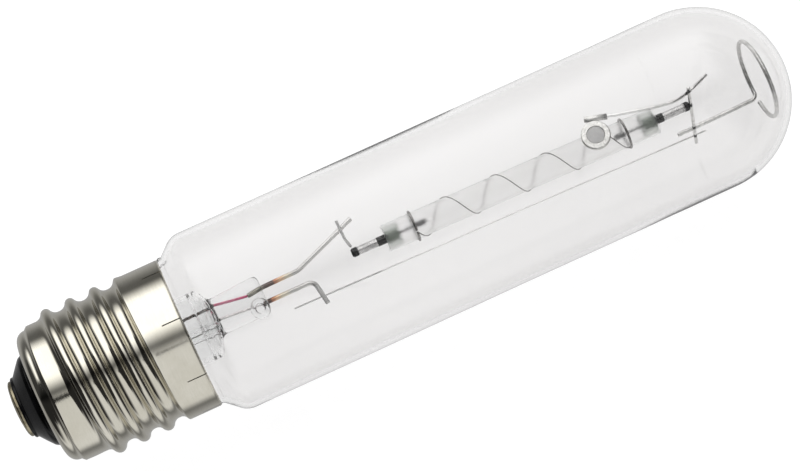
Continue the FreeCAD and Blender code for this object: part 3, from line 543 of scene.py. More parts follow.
def finish_piece(obj, *nodes):
    """Rides a piece on the lamp, lets it stand for its CAD nodes and gives it their finish."""
    slot = SLOT_OF[nodes[0]]
    obj.data.materials.clear()
    obj.data.materials.append(LOOKS[slot])
    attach(obj, "root")
    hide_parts(*nodes)
    return obj


# -------------------------------------------------------------------------- cap


def smooth_step(low, high, value):
    share = np.clip((value - low) / (high - low), 0, 1)
    return share * share * (3 - 2 * share)


def thread_height(offset, inset):
    """Height above the thread root at a distance along X from the nearest crest, in the sheet's outer or
    inner face: a crest arc that runs into a root arc."""
    crest_centre = THREAD_DEPTH - CREST_ROUND
    span = ROOT_ROUND + CREST_ROUND
    lift = ROOT_ROUND - crest_centre
    run = math.sqrt(span**2 - lift**2)
    crest, root = CREST_ROUND - inset, ROOT_ROUND + inset
    tangent = crest * run / span
    offset = np.abs(offset)
    on_crest = crest_centre + np.sqrt(np.maximum(crest**2 - offset**2, 0))
    on_root = ROOT_ROUND - np.sqrt(np.maximum(root**2 - np.maximum(run - offset, 0) ** 2, 0))
    return np.where(offset < tangent, on_crest, on_root)


def shell_radius(x, angle, inset):
    """Radius of the shell's outer (inset 0) or inner face in its threaded stretch."""
    turns = (x - GROOVE_FIRST) / PITCH - angle / TAU
    groove = np.round(turns)
    groove_turns = groove + angle / TAU
    crest = np.floor(turns) + 0.5
    crest_turns = crest + angle / TAU
    height = thread_height((turns - crest) * PITCH, inset)
    floor = -inset
    rise = smooth_step(-0.05, 0.42, crest_turns)
    height = floor + (height - floor) * rise
    top = THREAD_DEPTH + (SKIRT - ROOT - THREAD_DEPTH) * smooth_step(33.0, 36.5, x) - inset
    height = np.minimum(height, top)
    fill = smooth_step(GROOVE_TURNS - 0.12, GROOVE_TURNS + 0.08, groove_turns)
    fill = np.where(x > 30, fill, 0)
    return ROOT + height + (top - height) * fill


def cap_shell():
    """The threaded sheet shell with its rolled nose and the slits in its rim."""
    slit_half_angle = SLIT_HALF / SKIRT
    sector = TAU / SLIT_COUNT
    columns = []
    for k in range(SLIT_COUNT):
        middle = math.radians(SLIT_ANGLE) + k * sector
        columns.append(middle - slit_half_angle)
        columns.extend(np.linspace(middle + slit_half_angle, middle + sector - slit_half_angle, 34)[:-1])
    columns = np.array(columns)
    per_sector = len(columns) // SLIT_COUNT
    nose_outer = arc_points((9.3, 14.35), 2.6, 180, 97, 12)
    nose_inner = arc_points((9.3, 14.35), 2.2, 180, 97, 12)
    stations_outer = [(6.1, 11.9), (6.35, 12.5), *nose_outer[1:], (9.45, 16.97), (9.7, 17.2), (10.0, 17.5)]
    stations_inner = [(6.5, 11.9), (6.75, 12.6), *nose_inner[1:], (9.4, 16.57), (9.65, 16.8), (9.95, 17.1)]
    skirt = [*np.arange(38.4, SLIT_START - 0.3, 0.55), *np.arange(SLIT_START, RIM - 0.3, 0.55)]
    threaded = np.concatenate([np.arange(10.3, 37.9, 0.16), skirt])

    def surface(stations, inset, drops):
        """The stations, the thread and skirt, and the rim, which drops by each amount from the skirt."""
        end = [(RIM - back, SKIRT - inset - drop) for back, drop in zip((0.55, 0.3, 0.1, 0.0), drops)]
        rows = [np.column_stack([np.full(len(columns), x), np.full(len(columns), r)]) for x, r in stations]
        for x in threaded:
            radius = shell_radius(np.full(len(columns), x), columns, inset)
            rows.append(np.column_stack([np.full(len(columns), x), radius]))
        for x, r in end:
            rows.append(np.column_stack([np.full(len(columns), x), np.full(len(columns), r)]))
        return np.array(rows)

    outer = surface(stations_outer, 0.0, (0.0, 0.05, 0.15, 0.27))
    inner = surface(stations_inner, SHEET, (0.0, 0.0, 0.0, -0.06))
    grid = np.concatenate([outer, inner[::-1]])
    count = len(columns)
    points = [
        (x, r * math.cos(a), r * math.sin(a)) for row in grid for (x, r), a in zip(row, columns)
    ]
    row_x = grid[:, 0, 0]
    faces = []
    rows = len(grid)
    for i in range(rows):
        j = (i + 1) % rows
        slit_row = min(row_x[i], row_x[j]) >= SLIT_START - 1e-6
        for k in range(count):
            n = (k + 1) % count
            if slit_row and k % per_sector == 0:
                continue
            faces.append((i * count + k, i * count + n, j * count + n, j * count + k))
    outer_slit = [i for i in range(len(outer)) if row_x[i] >= SLIT_START - 1e-6]
    for k in range(0, count, per_sector):
        n = (k + 1) % count
        for i, j in zip(outer_slit[:-1], outer_slit[1:]):
            p, q = rows - 1 - i, rows - 1 - j
            faces.append((i * count + k, j * count + k, q * count + k, p * count + k))
            faces.append((j * count + n, i * count + n, p * count + n, q * count + n))
        i = outer_slit[0]
        p = rows - 1 - i
        faces.append((i * count + n, i * count + k, p * count + k, p * count + n))
    obj = mesh_object("cap_shell_sheet", points, faces, sharp=50)
    make_outward(obj)
    return finish_piece(obj, "cap_shell")


def cap_insulator():
    profile = rounded(
        [
            (1.5, 1.7),
            (1.5, 7.85, 0.35),
            (2.3, 7.85, 0.3),
            (3.6, 9.5, 5.0),
            (5.2, 11.45, 3.0),
            (5.9, 11.8, 0.4),
            (6.45, 11.9, 0.2),
            (7.1, 13.9, 1.0),
            (9.3, 16.5, 1.0),
            (10.0, 16.5, 0.3),
            (10.0, 11.9, 0.3),
            (4.9, 3.0, 0.5),
            (4.1, 1.7),
        ],
        steps=6,
    )
    return finish_piece(lathe("cap_insulator_glass", profile, 128, sharp=55), "cap_insulator")


def contact():
    plate = rounded(
        [
            (0.0, 1.5),
            (0.0, 4.2, 3.0),
            (0.35, 6.4, 0.9),
            (0.75, 7.2, 0.5),
            (1.5, 7.2, 0.12),
            (1.5, 1.5),
        ],
        steps=8,
    )
    finish_piece(lathe("contact_plate_disc", plate, 96), "contact_plate")
    solder = [(0.25, 0.0), (0.2, 0.7), (0.05, 1.2), (0.0, 1.5), (1.9, 1.5), (2.5, 0.3), (2.5, 0.0)]
    finish_piece(lathe("contact_solder_fill", solder, 48), "contact_solder")


# ------------------------------------------------------------------------- bulb


def glass_roll(x, angle, radius):
    """Drawn glass is never quite round: a few hundredths of slow roll, different inside and outside."""
    if x < 50 or radius < 12:
        return 0.0
    phase = 0.0 if radius > BULB_RADIUS - 0.5 * BULB_WALL else 1.9
    swell = 0.035 * math.sin(2 * angle + x / 27 + phase)
    ripple = 0.02 * math.sin(3 * angle - x / 11 + 2 * phase)
    neck_in = 0.05 * math.exp(-(((x - 163) / 3.0) ** 2))
    fade = min(1.0, (x - 50) / 15) * min(1.0, (BULB_END - x) / 12)
    return (swell + ripple - neck_in) * fade - 0.03 * fade


def bulb_line(inset):
    """The bulb from its neck to the top of its dome, inset that far into the glass."""
    dip, swell, slope = 1.6, 5.5, 42.0
    sine, cosine = math.sin(math.radians(slope)), math.cos(math.radians(slope))
    rise = BULB_RADIUS - LAND - (dip + swell) * (1 - cosine)
    swell_centre = (SHOULDER + (dip + swell) * sine + rise * cosine / sine, BULB_RADIUS - swell)
    line = [(22.0, NECK - inset), (37.4 + inset, NECK - inset), (39.4 + inset, LAND - inset)]
    line += arc_points((SHOULDER, LAND + dip), dip + inset, -90, slope - 90, 8)
    line += arc_points(swell_centre, swell - inset, 90 + slope, 90, 14)
    line += [(x, BULB_RADIUS - inset) for x in np.arange(56.0, DOME_CENTRE - 1, 4.0)]
    line += arc_points((DOME_CENTRE, 0), BULB_RADIUS - inset, 90, 0, 56)
    line[-1] = (line[-1][0], 0.0)
    return line


def outer_bulb():
    return hollow("outer_bulb_glass", bulb_line(0.0), bulb_line(BULB_WALL), 192, glass_roll, "outer_bulb")


def hollow(name, outer, inner, sides, wobble, *nodes):
    """A blown vessel, open at its first end: outer and inner lines both end on the axis."""
    points, faces = [], []
    angles = np.arange(sides) * TAU / sides
    layers = []
    for line in (outer, inner):
        rings = []
        for x, radius in line:
            if radius < 1e-6:
                rings.append([len(points)])
                points.append((x, 0, 0))
                continue
            rings.append(list(range(len(points), len(points) + sides)))
            for angle in angles:
                r = radius + wobble(x, angle, radius)
                points.append((x, r * math.cos(angle), r * math.sin(angle)))
        layers.append(rings)
    for layer, rings in enumerate(layers):
        for first, second in zip(rings[:-1], rings[1:]):
            for k in range(sides):
                j = (k + 1) % sides
                if len(second) == 1:
                    face = (first[k], first[j], second[0])
                else:
                    face = (first[k], first[j], second[j], second[k])
                faces.append(face if layer == 0 else face[::-1])
    for k in range(sides):
        j = (k + 1) % sides
        faces.append((layers[0][0][j], layers[0][0][k], layers[1][0][k], layers[1][0][j]))
    obj = mesh_object(name, points, faces, sharp=55)
    make_outward(obj)
    return finish_piece(obj, *nodes)


def stem():
    """Stem tube pinched to a flat press, with the blow hole's lip, as one glass body."""
    sides = 96
    outer = [
        # x, half width, half height, centre y, squareness
        (22.0, 15.3, 15.3, 0.0, 2.0),
        (23.2, 11.9, 11.9, 0.0, 2.0),
        (25.5, 9.6, 9.6, 0.0, 2.0),
        (28.5, 8.8, 8.8, 0.0, 2.0),
        (40.0, 8.8, 8.8, 0.0, 2.0),
        (49.2, 8.8, 8.8, 0.0, 2.0),
        (50.1, 8.6, 8.2, 0.0, 2.0),
        (50.8, 7.9, 6.7, 0.1, 2.1),
        (51.6, 6.4, 4.3, 0.3, 2.2),
        (52.5, 5.1, 2.6, 0.5, 2.5),
        (53.6, 4.75, 2.15, 0.65, 2.8),
        (58.0, 4.8, 2.1, 0.75, 3.2),
        (61.0, 4.9, 2.0, 0.85, 3.2),
        (64.0, 5.0, 2.0, 0.95, 3.2),
        (65.2, 4.8, 1.75, 0.95, 2.8),
        (65.6, 4.2, 1.1, 0.95, 2.5),
    ]
    inner = [
        (22.0, 14.2, 14.2, 0.0, 2.0),
        (23.6, 10.6, 10.6, 0.0, 2.0),
        (25.9, 8.4, 8.4, 0.0, 2.0),
        (28.5, 7.8, 7.8, 0.0, 2.0),
        (40.0, 7.8, 7.8, 0.0, 2.0),
        (48.6, 7.8, 7.8, 0.0, 2.0),
        (49.5, 7.4, 6.9, 0.0, 2.0),
        (50.3, 6.5, 5.0, 0.1, 2.0),
        (51.1, 5.0, 2.8, 0.3, 2.1),
        (51.8, 3.2, 1.1, 0.5, 2.2),
        (52.3, 1.4, 0.4, 0.6, 2.2),
    ]

    def section(x, width, height, centre, power):
        ring = []
        for k in range(sides):
            a = TAU * k / sides
            c, s = math.cos(a), math.sin(a)
            y = math.copysign(abs(c) ** (2 / power), c) * width + centre
            z = math.copysign(abs(s) ** (2 / power), s) * height
            ring.append((x, y, z))
        return ring

    outer = smooth_stations(outer, 0.5)
    inner = smooth_stations(inner, 0.5)
    points = []
    for station in outer + inner[::-1]:
        points.extend(section(*station))
    rows = len(outer) + len(inner)
    faces = grid_faces(len(outer), sides, 0)
    faces += grid_faces(len(inner), sides, len(outer) * sides)
    last_outer = (len(outer) - 1) * sides
    first_inner = len(outer) * sides
    faces.append(tuple(last_outer + k for k in range(sides)))
    faces.append(tuple(first_inner + k for k in reversed(range(sides))))
    last = (rows - 1) * sides
    faces += [(last + k, last + (k + 1) % sides, (k + 1) % sides, k) for k in range(sides)]
    body = mesh_object("stem_glass_body", points, faces)
    make_outward(body)
    lip = ring_lip("stem_lip", (63.4, -1.9, 2.15), (1.72, 1.95), 0.72)
    bore = sweep("stem_bore", [(63.3, -1.9, 0.9), (63.3, -1.9, 5.0)], 1.0, 48)
    cutter = body.modifiers.new("bore", "BOOLEAN")
    cutter.operation = "DIFFERENCE"
    cutter.object = bore
    cutter.solver = "EXACT"
    bake_modifiers(body)
    bpy.data.objects.remove(bore)
    body = joined([lip, body])
    body.data.set_sharp_from_angle(angle=math.radians(45))
    return finish_piece(body, "stem_glass")


def smooth_stations(stations, spacing):
    """More stations between the given ones, on a curve through them that never swings past them."""
    stations = np.array(stations, float)
    xs = stations[:, 0]
    count = int((xs[-1] - xs[0]) / spacing)
    at = np.unique(np.concatenate([xs, np.linspace(xs[0], xs[-1], count)]))
    steps = np.diff(stations, axis=0) / np.diff(xs)[:, None]
    before, after = steps[:-1], steps[1:]
    same_way = before * after > 0
    total = np.where(same_way, before + after, 1.0)
    slopes = np.zeros_like(stations)
    slopes[:, 0] = 1.0
    slopes[1:-1] = np.where(same_way, 2 * before * after / total, 0.0)
    slopes[0], slopes[-1] = steps[0], steps[-1]
    out = []
    for x in at:
        i = min(np.searchsorted(xs, x, side="right") - 1, len(xs) - 2)
        gap = xs[i + 1] - xs[i]
        u = (x - xs[i]) / gap
        a = (1 + 2 * u) * (1 - u) ** 2
        b = u * (1 - u) ** 2
        c = u * u * (3 - 2 * u)
        d = u * u * (u - 1)
        row = a * stations[i] + b * gap * slopes[i] + c * stations[i + 1] + d * gap * slopes[i + 1]
        row[0] = x
        out.append(row)
    return out


def ring_lip(name, centre, radii, thick, around=64, across=20):
    """An oval ring of round section lying flat."""
    points = []
    for i in range(around):
        a = TAU * i / around
        out = np.array([math.cos(a), math.sin(a), 0])
        for k in range(across):
            b = TAU * k / across
            offset = out * (thick * math.cos(b)) + np.array([0, 0, thick * math.sin(b)])
            points.append(np.array(centre) + out * np.array([radii[0], radii[1], 0]) + offset)
    faces = [
        (
            i * across + k,
            ((i + 1) % around) * across + k,
            ((i + 1) % around) * across + (k + 1) % across,
            i * across + (k + 1) % across,
        )
        for i in range(around)
        for k in range(across)
    ]
    obj = mesh_object(name, points, faces)
    make_outward(obj)
    return obj


def bake_modifiers(obj):
    """Puts the modifiers' result in the mesh."""
    evaluated = obj.evaluated_get(bpy.context.evaluated_depsgraph_get())
    mesh = bpy.data.meshes.new_from_object(evaluated)
    obj.modifiers.clear()
    obj.data = mesh
    mesh.polygons.foreach_set("use_smooth", [True] * len(mesh.polygons))


def exhaust_tube():
    profile = rounded(
        [
            (14.0, 0.0),
            (14.6, 1.3, 1.0),
            (16.6, 1.9, 1.5),
            (53.0, 1.9, 0.2),
            (53.0, 0.9, 0.2),
            (17.2, 0.9, 0.6),
            (16.4, 0.0),
        ],
        steps=6,
    )
    rings = resampled(np.asarray(profile, float), 0.8)
    obj = lathe("exhaust_tube_glass", rings, 48, place=lambda p: (p[0], p[1] - 1.85, p[2] + 0.95))
    return finish_piece(obj, "exhaust_tube")


# ------------------------------------------------------------ leads and supports

SEAL_ARC = [(53.2, 3.3, MOUNT), (61.8, 2.1, MOUNT)]
SEAL_RETURN = [(53.2, -0.2, MOUNT), (64.4, -1.2, MOUNT)]
SIDE_LEAD_ANGLE = math.radians(-10.2)
CROSS_TOP = np.array([179.95, 3.9, 6.7])
CROSS_LOW = np.array([180.5, -9.4, -16.1])


def around(x, radius):
    return (x, radius * math.cos(SIDE_LEAD_ANGLE), radius * math.sin(SIDE_LEAD_ANGLE))


def leads():
    centre = rounded(
        [
            (53.2, 3.3, MOUNT),
            (48, 3.3, MOUNT, 12),
            (40, 2.6, MOUNT, 12),
            (17, 2.6, MOUNT, 12),
            (10, 0, 0, 12),
            (0.6, 0, 0),
        ],
        axes=3,
    )
    finish_piece(sweep("lead_wire_centre_run", centre, 0.38, 14), "lead_wire_centre")
    side = rounded(
        [
            SEAL_RETURN[0],
            (50, -1.4, -2.6, 3),
            (26, -2.2, -3.0, 3),
            (18, -2.2, -3.0, 3),
            (*around(18, 16.87), 3),
            (*around(33, 16.87), 3),
            (*around(36, 18.45), 3),
            around(46, 18.45),
        ],
        axes=3,
    )
    finish_piece(sweep("lead_wire_side_run", side, 0.35, 14), "lead_wire_side")
    bead_profile = arc_points((0, 0), 1.0, 180, 0, 20)
    bead_profile[0], bead_profile[-1] = (-1.0, 0.0), (1.0, 0.0)
    middle = around(46.0, 19.15)
    bead = lathe(
        "rim_solder_bead",
        bead_profile,
        32,
        place=lambda p: (p[0] * 0.85 + middle[0], p[1] * 0.8 + middle[1], p[2] * 1.0 + middle[2]),
    )
    finish_piece(bead, "rim_solder")
    finish_piece(sweep("seal_wire_arc_run", SEAL_ARC, 0.3, 16), "seal_wire_arc")
    finish_piece(sweep("seal_wire_return_run", SEAL_RETURN, 0.3, 16), "seal_wire_return")
    arc_route = [SEAL_ARC[1], (65.9, 2.6, MOUNT, 6), (75.6, 2.7, MOUNT, 6), (92.5, 8.95, MOUNT)]
    arc_rod = rounded(arc_route, steps=10, axes=3)
    finish_piece(sweep("lead_rod_arc_bent", arc_rod, 0.6, 24), "lead_rod_arc")
    return_rod = rounded([SEAL_RETURN[1], (78.0, -1.2, MOUNT, 1.9), (79.0, -7.7, MOUNT)], 12, 3)
    finish_piece(sweep("lead_rod_return_bent", return_rod, 0.6, 24), "lead_rod_return")


def beside_cross(side, gap, direction):
    """The point at height side beside the dome cross wire, gap away from its centre line."""
    along = (CROSS_LOW - CROSS_TOP) / np.linalg.norm(CROSS_LOW - CROSS_TOP)
    off = np.cross((1, 0, 0), along)
    off = off / np.linalg.norm(off) * gap * direction
    share = (side - off[1] - CROSS_TOP[1]) / (CROSS_LOW[1] - CROSS_TOP[1])
    return CROSS_TOP + (CROSS_LOW - CROSS_TOP) * share + off


def supports():
    tab = rounded([(88.95, 10.0, 0), (89.1, 5.0, 0, 2), (89.75, 2.57, 0)], axes=3)
    finish_piece(sweep("cross_wire_base_tab", tab, 0.35, 20), "cross_wire_base")
    finish_piece(sweep("cross_wire_dome_rod", [CROSS_TOP, CROSS_LOW], 0.42, 20), "cross_wire_dome")
    far = beside_cross(-7.5, 0.62, 1)
    near = np.array([78.8, -5.6, MOUNT - 0.8])
    step = (far - near) / (far[0] - near[0])
    run = [near + step * (x - near[0]) for x in (71.0, 183.7)]
    finish_piece(sweep("return_wire_run", run, 0.2, 12, spacing=6), "return_wire")
    post = beside_cross(-5.65, 0.97, 1)
    ring, bend, centre_y = 10.2, 1.6, -2.8
    rise = math.sqrt(ring**2 - (post[1] - centre_y) ** 2)
    inward = np.array([0, centre_y - post[1], rise]) / ring
    tangent = np.array([0, inward[2], -inward[1]])
    corner = np.array([198.6, post[1], post[2]])
    join = corner + tangent * bend
    centre = join + inward * ring
    path = [np.array([176.2, post[1], post[2]]), corner - np.array([bend, 0, 0])]
    for k in range(1, 10):
        a = k / 10 * math.pi / 2
        path.append(
            corner
            - np.array([bend, 0, 0]) * (1 - math.sin(a))
            + tangent * bend * (1 - math.cos(a))
        )
    for k in range(73):
        a = math.radians(344) * k / 72
        path.append(centre - inward * ring * math.cos(a) + tangent * ring * math.sin(a))
    finish_piece(sweep("dome_spring_loop", path, 0.55, 24, spacing=0.9), "dome_spring")


# --------------------------------------------------------------------- arc tube

ARC_START = np.array([98.07, 0.95, 0.0])
ARC_LENGTH = 72.4
ARC_LEAN = math.asin((0.02 - 0.95) / ARC_LENGTH)
ARC_RADIUS = 3.4
ARC_BORE = 2.75


def on_arc(p):
    """From the arc tube's own axes, X along it from its base end, to the frame's."""
    c, s = math.cos(ARC_LEAN), math.sin(ARC_LEAN)
    return ARC_START + np.array([c * p[0] - s * p[1], s * p[0] + c * p[1], p[2]])


def on_arc_end(p):
    """The same from its dome end, looking back."""
    return on_arc((ARC_LENGTH - p[0], -p[1], p[2]))


def arc_end(end, place, outside):
    plug = rounded(
        [
            (0.3, 1.06),
            (0.3, ARC_BORE, 0.1),
            (3.9, ARC_BORE, 0.2),
            (3.9, 0.5, 0.2),
            (3.4, 0.5),
            (3.4, 1.52, 0.1),
            (0.7, 1.52, 0.1),
            (0.7, 1.06),
        ]
    )
    finish_piece(lathe(f"end_plug_{end}_body", plug, 64, place), f"end_plug_{end}")
    frit = rounded(
        [
            (-2.1, 1.06),
            (-2.1, 1.15, 0.08),
            (0.28, 1.15, 0.05),
            (0.28, 1.08),
            (0.72, 1.08),
            (0.72, 1.5, 0.1),
            (3.35, 1.5, 0.1),
            (3.35, 1.07),
            (0.72, 1.06),
        ]
    )
    finish_piece(lathe(f"sealing_frit_{end}_ring", frit, 64, place), f"sealing_frit_{end}")
    tube = rounded(
        [
            (-outside, 0.0),
            (-outside, 0.9, 0.25),
            (-outside + 0.3, 1.05, 0.2),
            (3.0, 1.05, 0.15),
            (3.0, 0.35, 0.1),
            (2.4, 0.35, 0.1),
            (2.4, 0.8, 0.1),
            (-outside + 0.6, 0.8, 0.2),
            (-outside + 0.6, 0.0),
        ]
    )
    finish_piece(lathe(f"feedthrough_{end}_tube", tube, 48, place), f"feedthrough_{end}")
    collar = rounded(
        [
            (0.35 - outside, 1.05),
            (0.35 - outside, 1.17, 0.1),
            (1.65 - outside, 1.17, 0.1),
            (1.65 - outside, 1.05),
        ]
    )
    finish_piece(lathe(f"weld_collar_{end}_sleeve", collar, 48, place), f"weld_collar_{end}")
    shank = rounded([(2.4, 0.0), (2.4, 0.35, 0.05), (11.2, 0.35, 0.15), (11.2, 0.0)])
    finish_piece(lathe(f"electrode_{end}_rod", shank, 32, place), f"electrode_{end}")
    coil = [
        place((8.3 + 0.47 * a / TAU, 0.57 * math.cos(a), 0.57 * math.sin(a)))
        for a in np.linspace(0, 5 * TAU, 161)
    ]
    finish_piece(
        sweep(f"electrode_coil_{end}_winding", coil, 0.22, 12, spacing=1), f"electrode_coil_{end}"
    )


def arc_tube():
    body = rounded(
        [
            (0.0, ARC_BORE),
            (0.0, ARC_RADIUS, 0.2),
            (ARC_LENGTH, ARC_RADIUS, 0.2),
            (ARC_LENGTH, ARC_BORE),
        ]
    )
    body = resampled(body, 6.0)
    finish_piece(lathe("arc_tube_ceramic", body, 96, on_arc), "arc_tube")
    arc_end("base", on_arc, 8.9)
    arc_end("dome", on_arc_end, 9.2)
    dose = arc_points((6.2, 0), 0.6, 180, 0, 16)
    dose[0], dose[-1] = (5.6, 0.0), (6.8, 0.0)
    bead = lathe("amalgam_dose_bead", dose, 24, lambda p: on_arc((p[0], p[1], p[2] - 2.15)))
    finish_piece(bead, "amalgam_dose")
    antenna()


def antenna():
    """Starting wire: a stout loop near each end and a thin open helix between them, as one piece."""
    first, last = 7.7, ARC_LENGTH - 8.1
    pitch, topmost = 13.45, 16.8
    start_angle = TAU * (first - topmost) / pitch
    turns = (last - first) / pitch

    def round_tube(x, angle, radius):
        return on_arc((x, radius * math.cos(angle), radius * math.sin(angle)))

    pieces = []
    for end, along, leave in (("base", first, start_angle), ("dome", last, start_angle + TAU * turns)):
        loop = [round_tube(along, leave + TAU * k / 48 * 0.985, 3.72) for k in range(49)]
        pieces.append(sweep(f"antenna_loop_{end}", loop, 0.3, 16, spacing=1))
    winding = [
        round_tube(first + (last - first) * k / 180, start_angle + TAU * turns * k / 180, 3.54)
        for k in range(181)
    ]
    pieces.append(sweep("starting_antenna_wire", winding, 0.12, 12, spacing=1, flat_end=0.05))
    finish_piece(joined(pieces), "starting_antenna")


def joined(pieces):
    """One object from several, named as the last."""
    keeper = pieces[-1]
    points, faces = [], []
    for piece in pieces:
        offset = len(points)
        points += [v.co / MM for v in piece.data.vertices]
        faces += [tuple(offset + v for v in polygon.vertices) for polygon in piece.data.polygons]
    name = keeper.name
    for piece in pieces:
        bpy.data.objects.remove(piece)
    return mesh_object(name, points, faces)


# ----------------------------------------------------------------------- getter


def getter():
    lean = math.radians(17)

    def facing(p):
        """From the pan's own axes, X its thickness, to the frame's, where it faces up and leans to +Y."""
        y = p[1] * math.cos(lean) + p[0] * math.sin(lean)
        z = p[0] * math.cos(lean) - p[1] * math.sin(lean)
        return (154.8 - p[2], 2.5 + y, 4.9 + z)

    pan = rounded(
        [
            (0.15, 0.0),
            (0.15, 2.42, 0.2),
            (0.78, 2.42, 0.1),
            (0.78, 3.43, 0.2),
            (0.0, 3.43, 0.08),
            (0.0, 3.65, 0.08),
            (1.0, 3.65, 0.3),
            (1.0, 2.2, 0.12),
            (0.37, 2.2, 0.1),
            (0.37, 0.0),
        ]
    )
    finish_piece(lathe("getter_ring_pan", pan, 96, facing), "getter_ring")
    fill = rounded([(0.4, 0.0), (0.4, 2.17, 0.05), (0.78, 2.17, 0.12), (0.82, 0.8, 0.3), (0.76, 0.0)])
    finish_piece(lathe("getter_fill_pressed", fill, 96, facing), "getter_fill")
    strip()
    weld = beside_cross(2.9, 0.82, -1)
    route = rounded(
        [
            (155.8, 6.8, 3.7),
            (161.1, 5.3, 3.75, 12),
            (166.1, 4.1, 4.0, 12),
            (171.0, 2.95, 4.2, 12),
            (176.3, 2.1, 3.8, 12),
            (*weld, 12),
            (186.0, 4.95, 3.6),
        ],
        steps=10,
        axes=3,
    )
    finish_piece(sweep("getter_wire_bent", route, 0.4, 20), "getter_wire")


def strip():
    """Sheet strip that carries the pan, its edges softened."""
    length, width, thick = 5.7, 1.5, 0.3
    lean, roll = math.radians(-15.7), math.radians(-6)
    soft = 0.08
    points = []
    for z, inset in ((0.0, soft), (soft, 0.0), (thick - soft, 0.0), (thick, soft)):
        for x, y in (
            (inset, inset),
            (length - inset, inset),
            (length - inset, width - inset),
            (inset, width - inset),
        ):
            across = y * math.cos(roll) - z * math.sin(roll)
            points.append(
                (
                    153.7 + x * math.cos(lean) - across * math.sin(lean),
                    6.51 + x * math.sin(lean) + across * math.cos(lean),
                    4.2 + y * math.sin(roll) + z * math.cos(roll),
                )
            )
    faces = [(0, 1, 2, 3), (12, 15, 14, 13)]
    for i in range(3):
        for k in range(4):
            j = (k + 1) % 4
            faces.append((i * 4 + k, (i + 1) * 4 + k, (i + 1) * 4 + j, i * 4 + j))
    obj = mesh_object("getter_strip_sheet", points, faces, sharp=60)
    make_outward(obj)
    return finish_piece(obj, "getter_strip")


# ------------------------------------------------------------------------ stage


def floor():
    """Opal light table: a pale panel, lit softly from below so that the glass shows against it, its glow
    painted dimmer towards -Y as painted shade.
    """
    size, cells = 4000.0, 40
    points, faces = [], []
    for i in range(cells + 1):
        for k in range(cells + 1):
            points.append((100 + size * (i / cells - 0.5), size * (k / cells - 0.5), FLOOR))
    for i in range(cells):
        for k in range(cells):
            a = i * (cells + 1) + k
            faces.append((a, a + cells + 1, a + cells + 2, a + 1))
    obj = mesh_object("floor", points, faces)
    n = Nodes("floor_opal").set(Emission_Color=(1.0, 1.0, 1.0, 1.0))
    # Painted shade: the table's glow falls from 1.03 at +Y to 0.925 at -Y to stand in for shade on the lamp's
    # -Y side.
    n.link(n.spread(n.along("Y", -30, 30), 0, 1, 0.925, 1.03), n.shader.inputs["Emission Strength"])
    n.base(n.ramp(n.noise(3, 3), (0.3, (0.19, 0.19, 0.19)), (0.7, (0.21, 0.21, 0.21))))
    n.rough(n.spread(n.noise(40, 3), 0.3, 0.7, 0.75, 0.9))
    n.bump(n.noise(700, 3), 0.02)
    obj.data.materials.append(n.material)
    obj.visible_glossy = False


# The studio round the lamp's axis, by tilt from straight up towards +Y in degrees: each soft box's two edges,
# how far each edge fades to either side, and its brightness.
SOFT_BOXES = [
    (-115, -5, 10, 0.8),
    (15, 90, 15, 1.8),
]
ROOM_LIGHT = 0.15
TABLE_GLOW = 0.3
TABLE_EDGES = (110, 150)


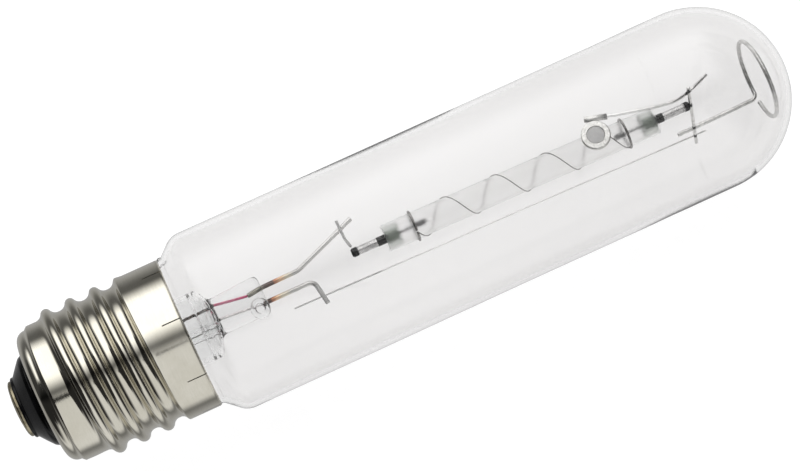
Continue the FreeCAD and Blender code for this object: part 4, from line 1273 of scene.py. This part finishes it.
def studio():
    """Two long soft boxes, a bright one on the +Y side and a greyer one on the -Y side, a narrow gap between
    them straight above, and dark ends beyond the lamp."""
    world = bpy.data.worlds.new("studio")
    bpy.context.scene.world = world
    world.use_nodes = True
    tree = world.node_tree
    background = tree.nodes["Background"]

    def node(kind, *inputs, operation=None):
        made = tree.nodes.new(kind)
        if operation:
            made.operation = operation
        for socket, value in zip(made.inputs, inputs):
            if isinstance(value, bpy.types.NodeSocket):
                tree.links.new(value, socket)
            else:
                socket.default_value = value
        return made.outputs[0]

    def fade(value, low, high, to_low, to_high):
        made = tree.nodes.new("ShaderNodeMapRange")
        made.interpolation_type = "SMOOTHSTEP"
        tree.links.new(value, made.inputs["Value"])
        for name, number in zip(("From Min", "From Max", "To Min", "To Max"), (low, high, to_low, to_high)):
            made.inputs[name].default_value = number
        return made.outputs["Result"]

    place = tree.nodes.new("ShaderNodeTexCoord").outputs["Generated"]
    split = tree.nodes.new("ShaderNodeSeparateXYZ")
    tree.links.new(place, split.inputs["Vector"])
    x, y, z = split.outputs
    tilt = node("ShaderNodeMath", y, z, operation="ARCTAN2")
    from_above = node("ShaderNodeMath", tilt, operation="ABSOLUTE")
    near_edge, far_edge = (math.radians(edge) for edge in TABLE_EDGES)
    round_light = fade(from_above, near_edge, far_edge, ROOM_LIGHT, ROOM_LIGHT + TABLE_GLOW)
    for first, last, soft, brightness in SOFT_BOXES:
        rise = fade(tilt, math.radians(first - soft), math.radians(first + soft), 0.0, brightness)
        fall = fade(tilt, math.radians(last - soft), math.radians(last + soft), 1.0, 0.0)
        box = node("ShaderNodeMath", rise, fall, operation="MULTIPLY")
        round_light = node("ShaderNodeMath", round_light, box, operation="ADD")
    ends = fade(node("ShaderNodeMath", x, operation="ABSOLUTE"), 0.3, 0.72, 0.0, 0.97)
    above = fade(z, -0.3, 0.02, 0.0, 1.0)
    dark = node("ShaderNodeMath", ends, above, operation="MULTIPLY")
    opening = fade(x, -0.45, 0.0, 0.85, 0.00001)
    from_gap = node("ShaderNodeMath", node("ShaderNodeMath", tilt, 0.17), operation="ABSOLUTE")
    gap = fade(node("ShaderNodeMath", from_gap, opening, operation="DIVIDE"), 0.75, 1.1, 0.97, 0.0)
    dark = node("ShaderNodeMath", dark, gap, operation="MAXIMUM")
    lit = node("ShaderNodeMath", 1.0, dark, operation="SUBTRACT")
    background.inputs["Color"].default_value = (1.0, 1.0, 1.0, 1.0)
    strength = node("ShaderNodeMath", round_light, lit, operation="MULTIPLY")
    tree.links.new(strength, background.inputs["Strength"])


def light_paths():
    """Enough bounces for light to cross the bulb, the stem and the exhaust tube, walls and all."""
    cycles = bpy.context.scene.cycles
    cycles.max_bounces = 36
    cycles.transmission_bounces = 36
    cycles.glossy_bounces = 12
    cycles.diffuse_bounces = 4


LENS = 116.04


def camera():
    """Straight above the cap end, turned so that the lamp runs up to the right."""
    data = bpy.data.cameras.new("camera")
    obj = bpy.data.objects.new("camera", data)
    bpy.context.scene.collection.objects.link(obj)
    place = Vector((61.0, 0.19, 627.1)) * MM
    target = Vector((101.7, 0.19, 0.0)) * MM
    view = (target - place).normalized()
    right = Vector((0, 1, 0)).cross(-view).normalized()
    up = (-view).cross(right)
    roll = math.radians(24.5)
    image_right = right * math.cos(roll) - up * math.sin(roll)
    image_up = right * math.sin(roll) + up * math.cos(roll)
    obj.matrix_world = Matrix(
        (
            (image_right.x, image_up.x, -view.x, place.x),
            (image_right.y, image_up.y, -view.y, place.y),
            (image_right.z, image_up.z, -view.z, place.z),
            (0, 0, 0, 1),
        )
    )
    data.sensor_fit = "HORIZONTAL"
    data.sensor_width = 36.0
    data.lens = LENS
    data.clip_start, data.clip_end = 0.05, 20.0
    bpy.context.scene.camera = obj


cap_shell()
cap_insulator()
contact()
outer_bulb()
stem()
exhaust_tube()
leads()
supports()
arc_tube()
getter()
floor()
studio()
camera()
light_paths()
bpy.context.scene.view_settings.view_transform = "Standard"

bpy.context.view_layer.update()
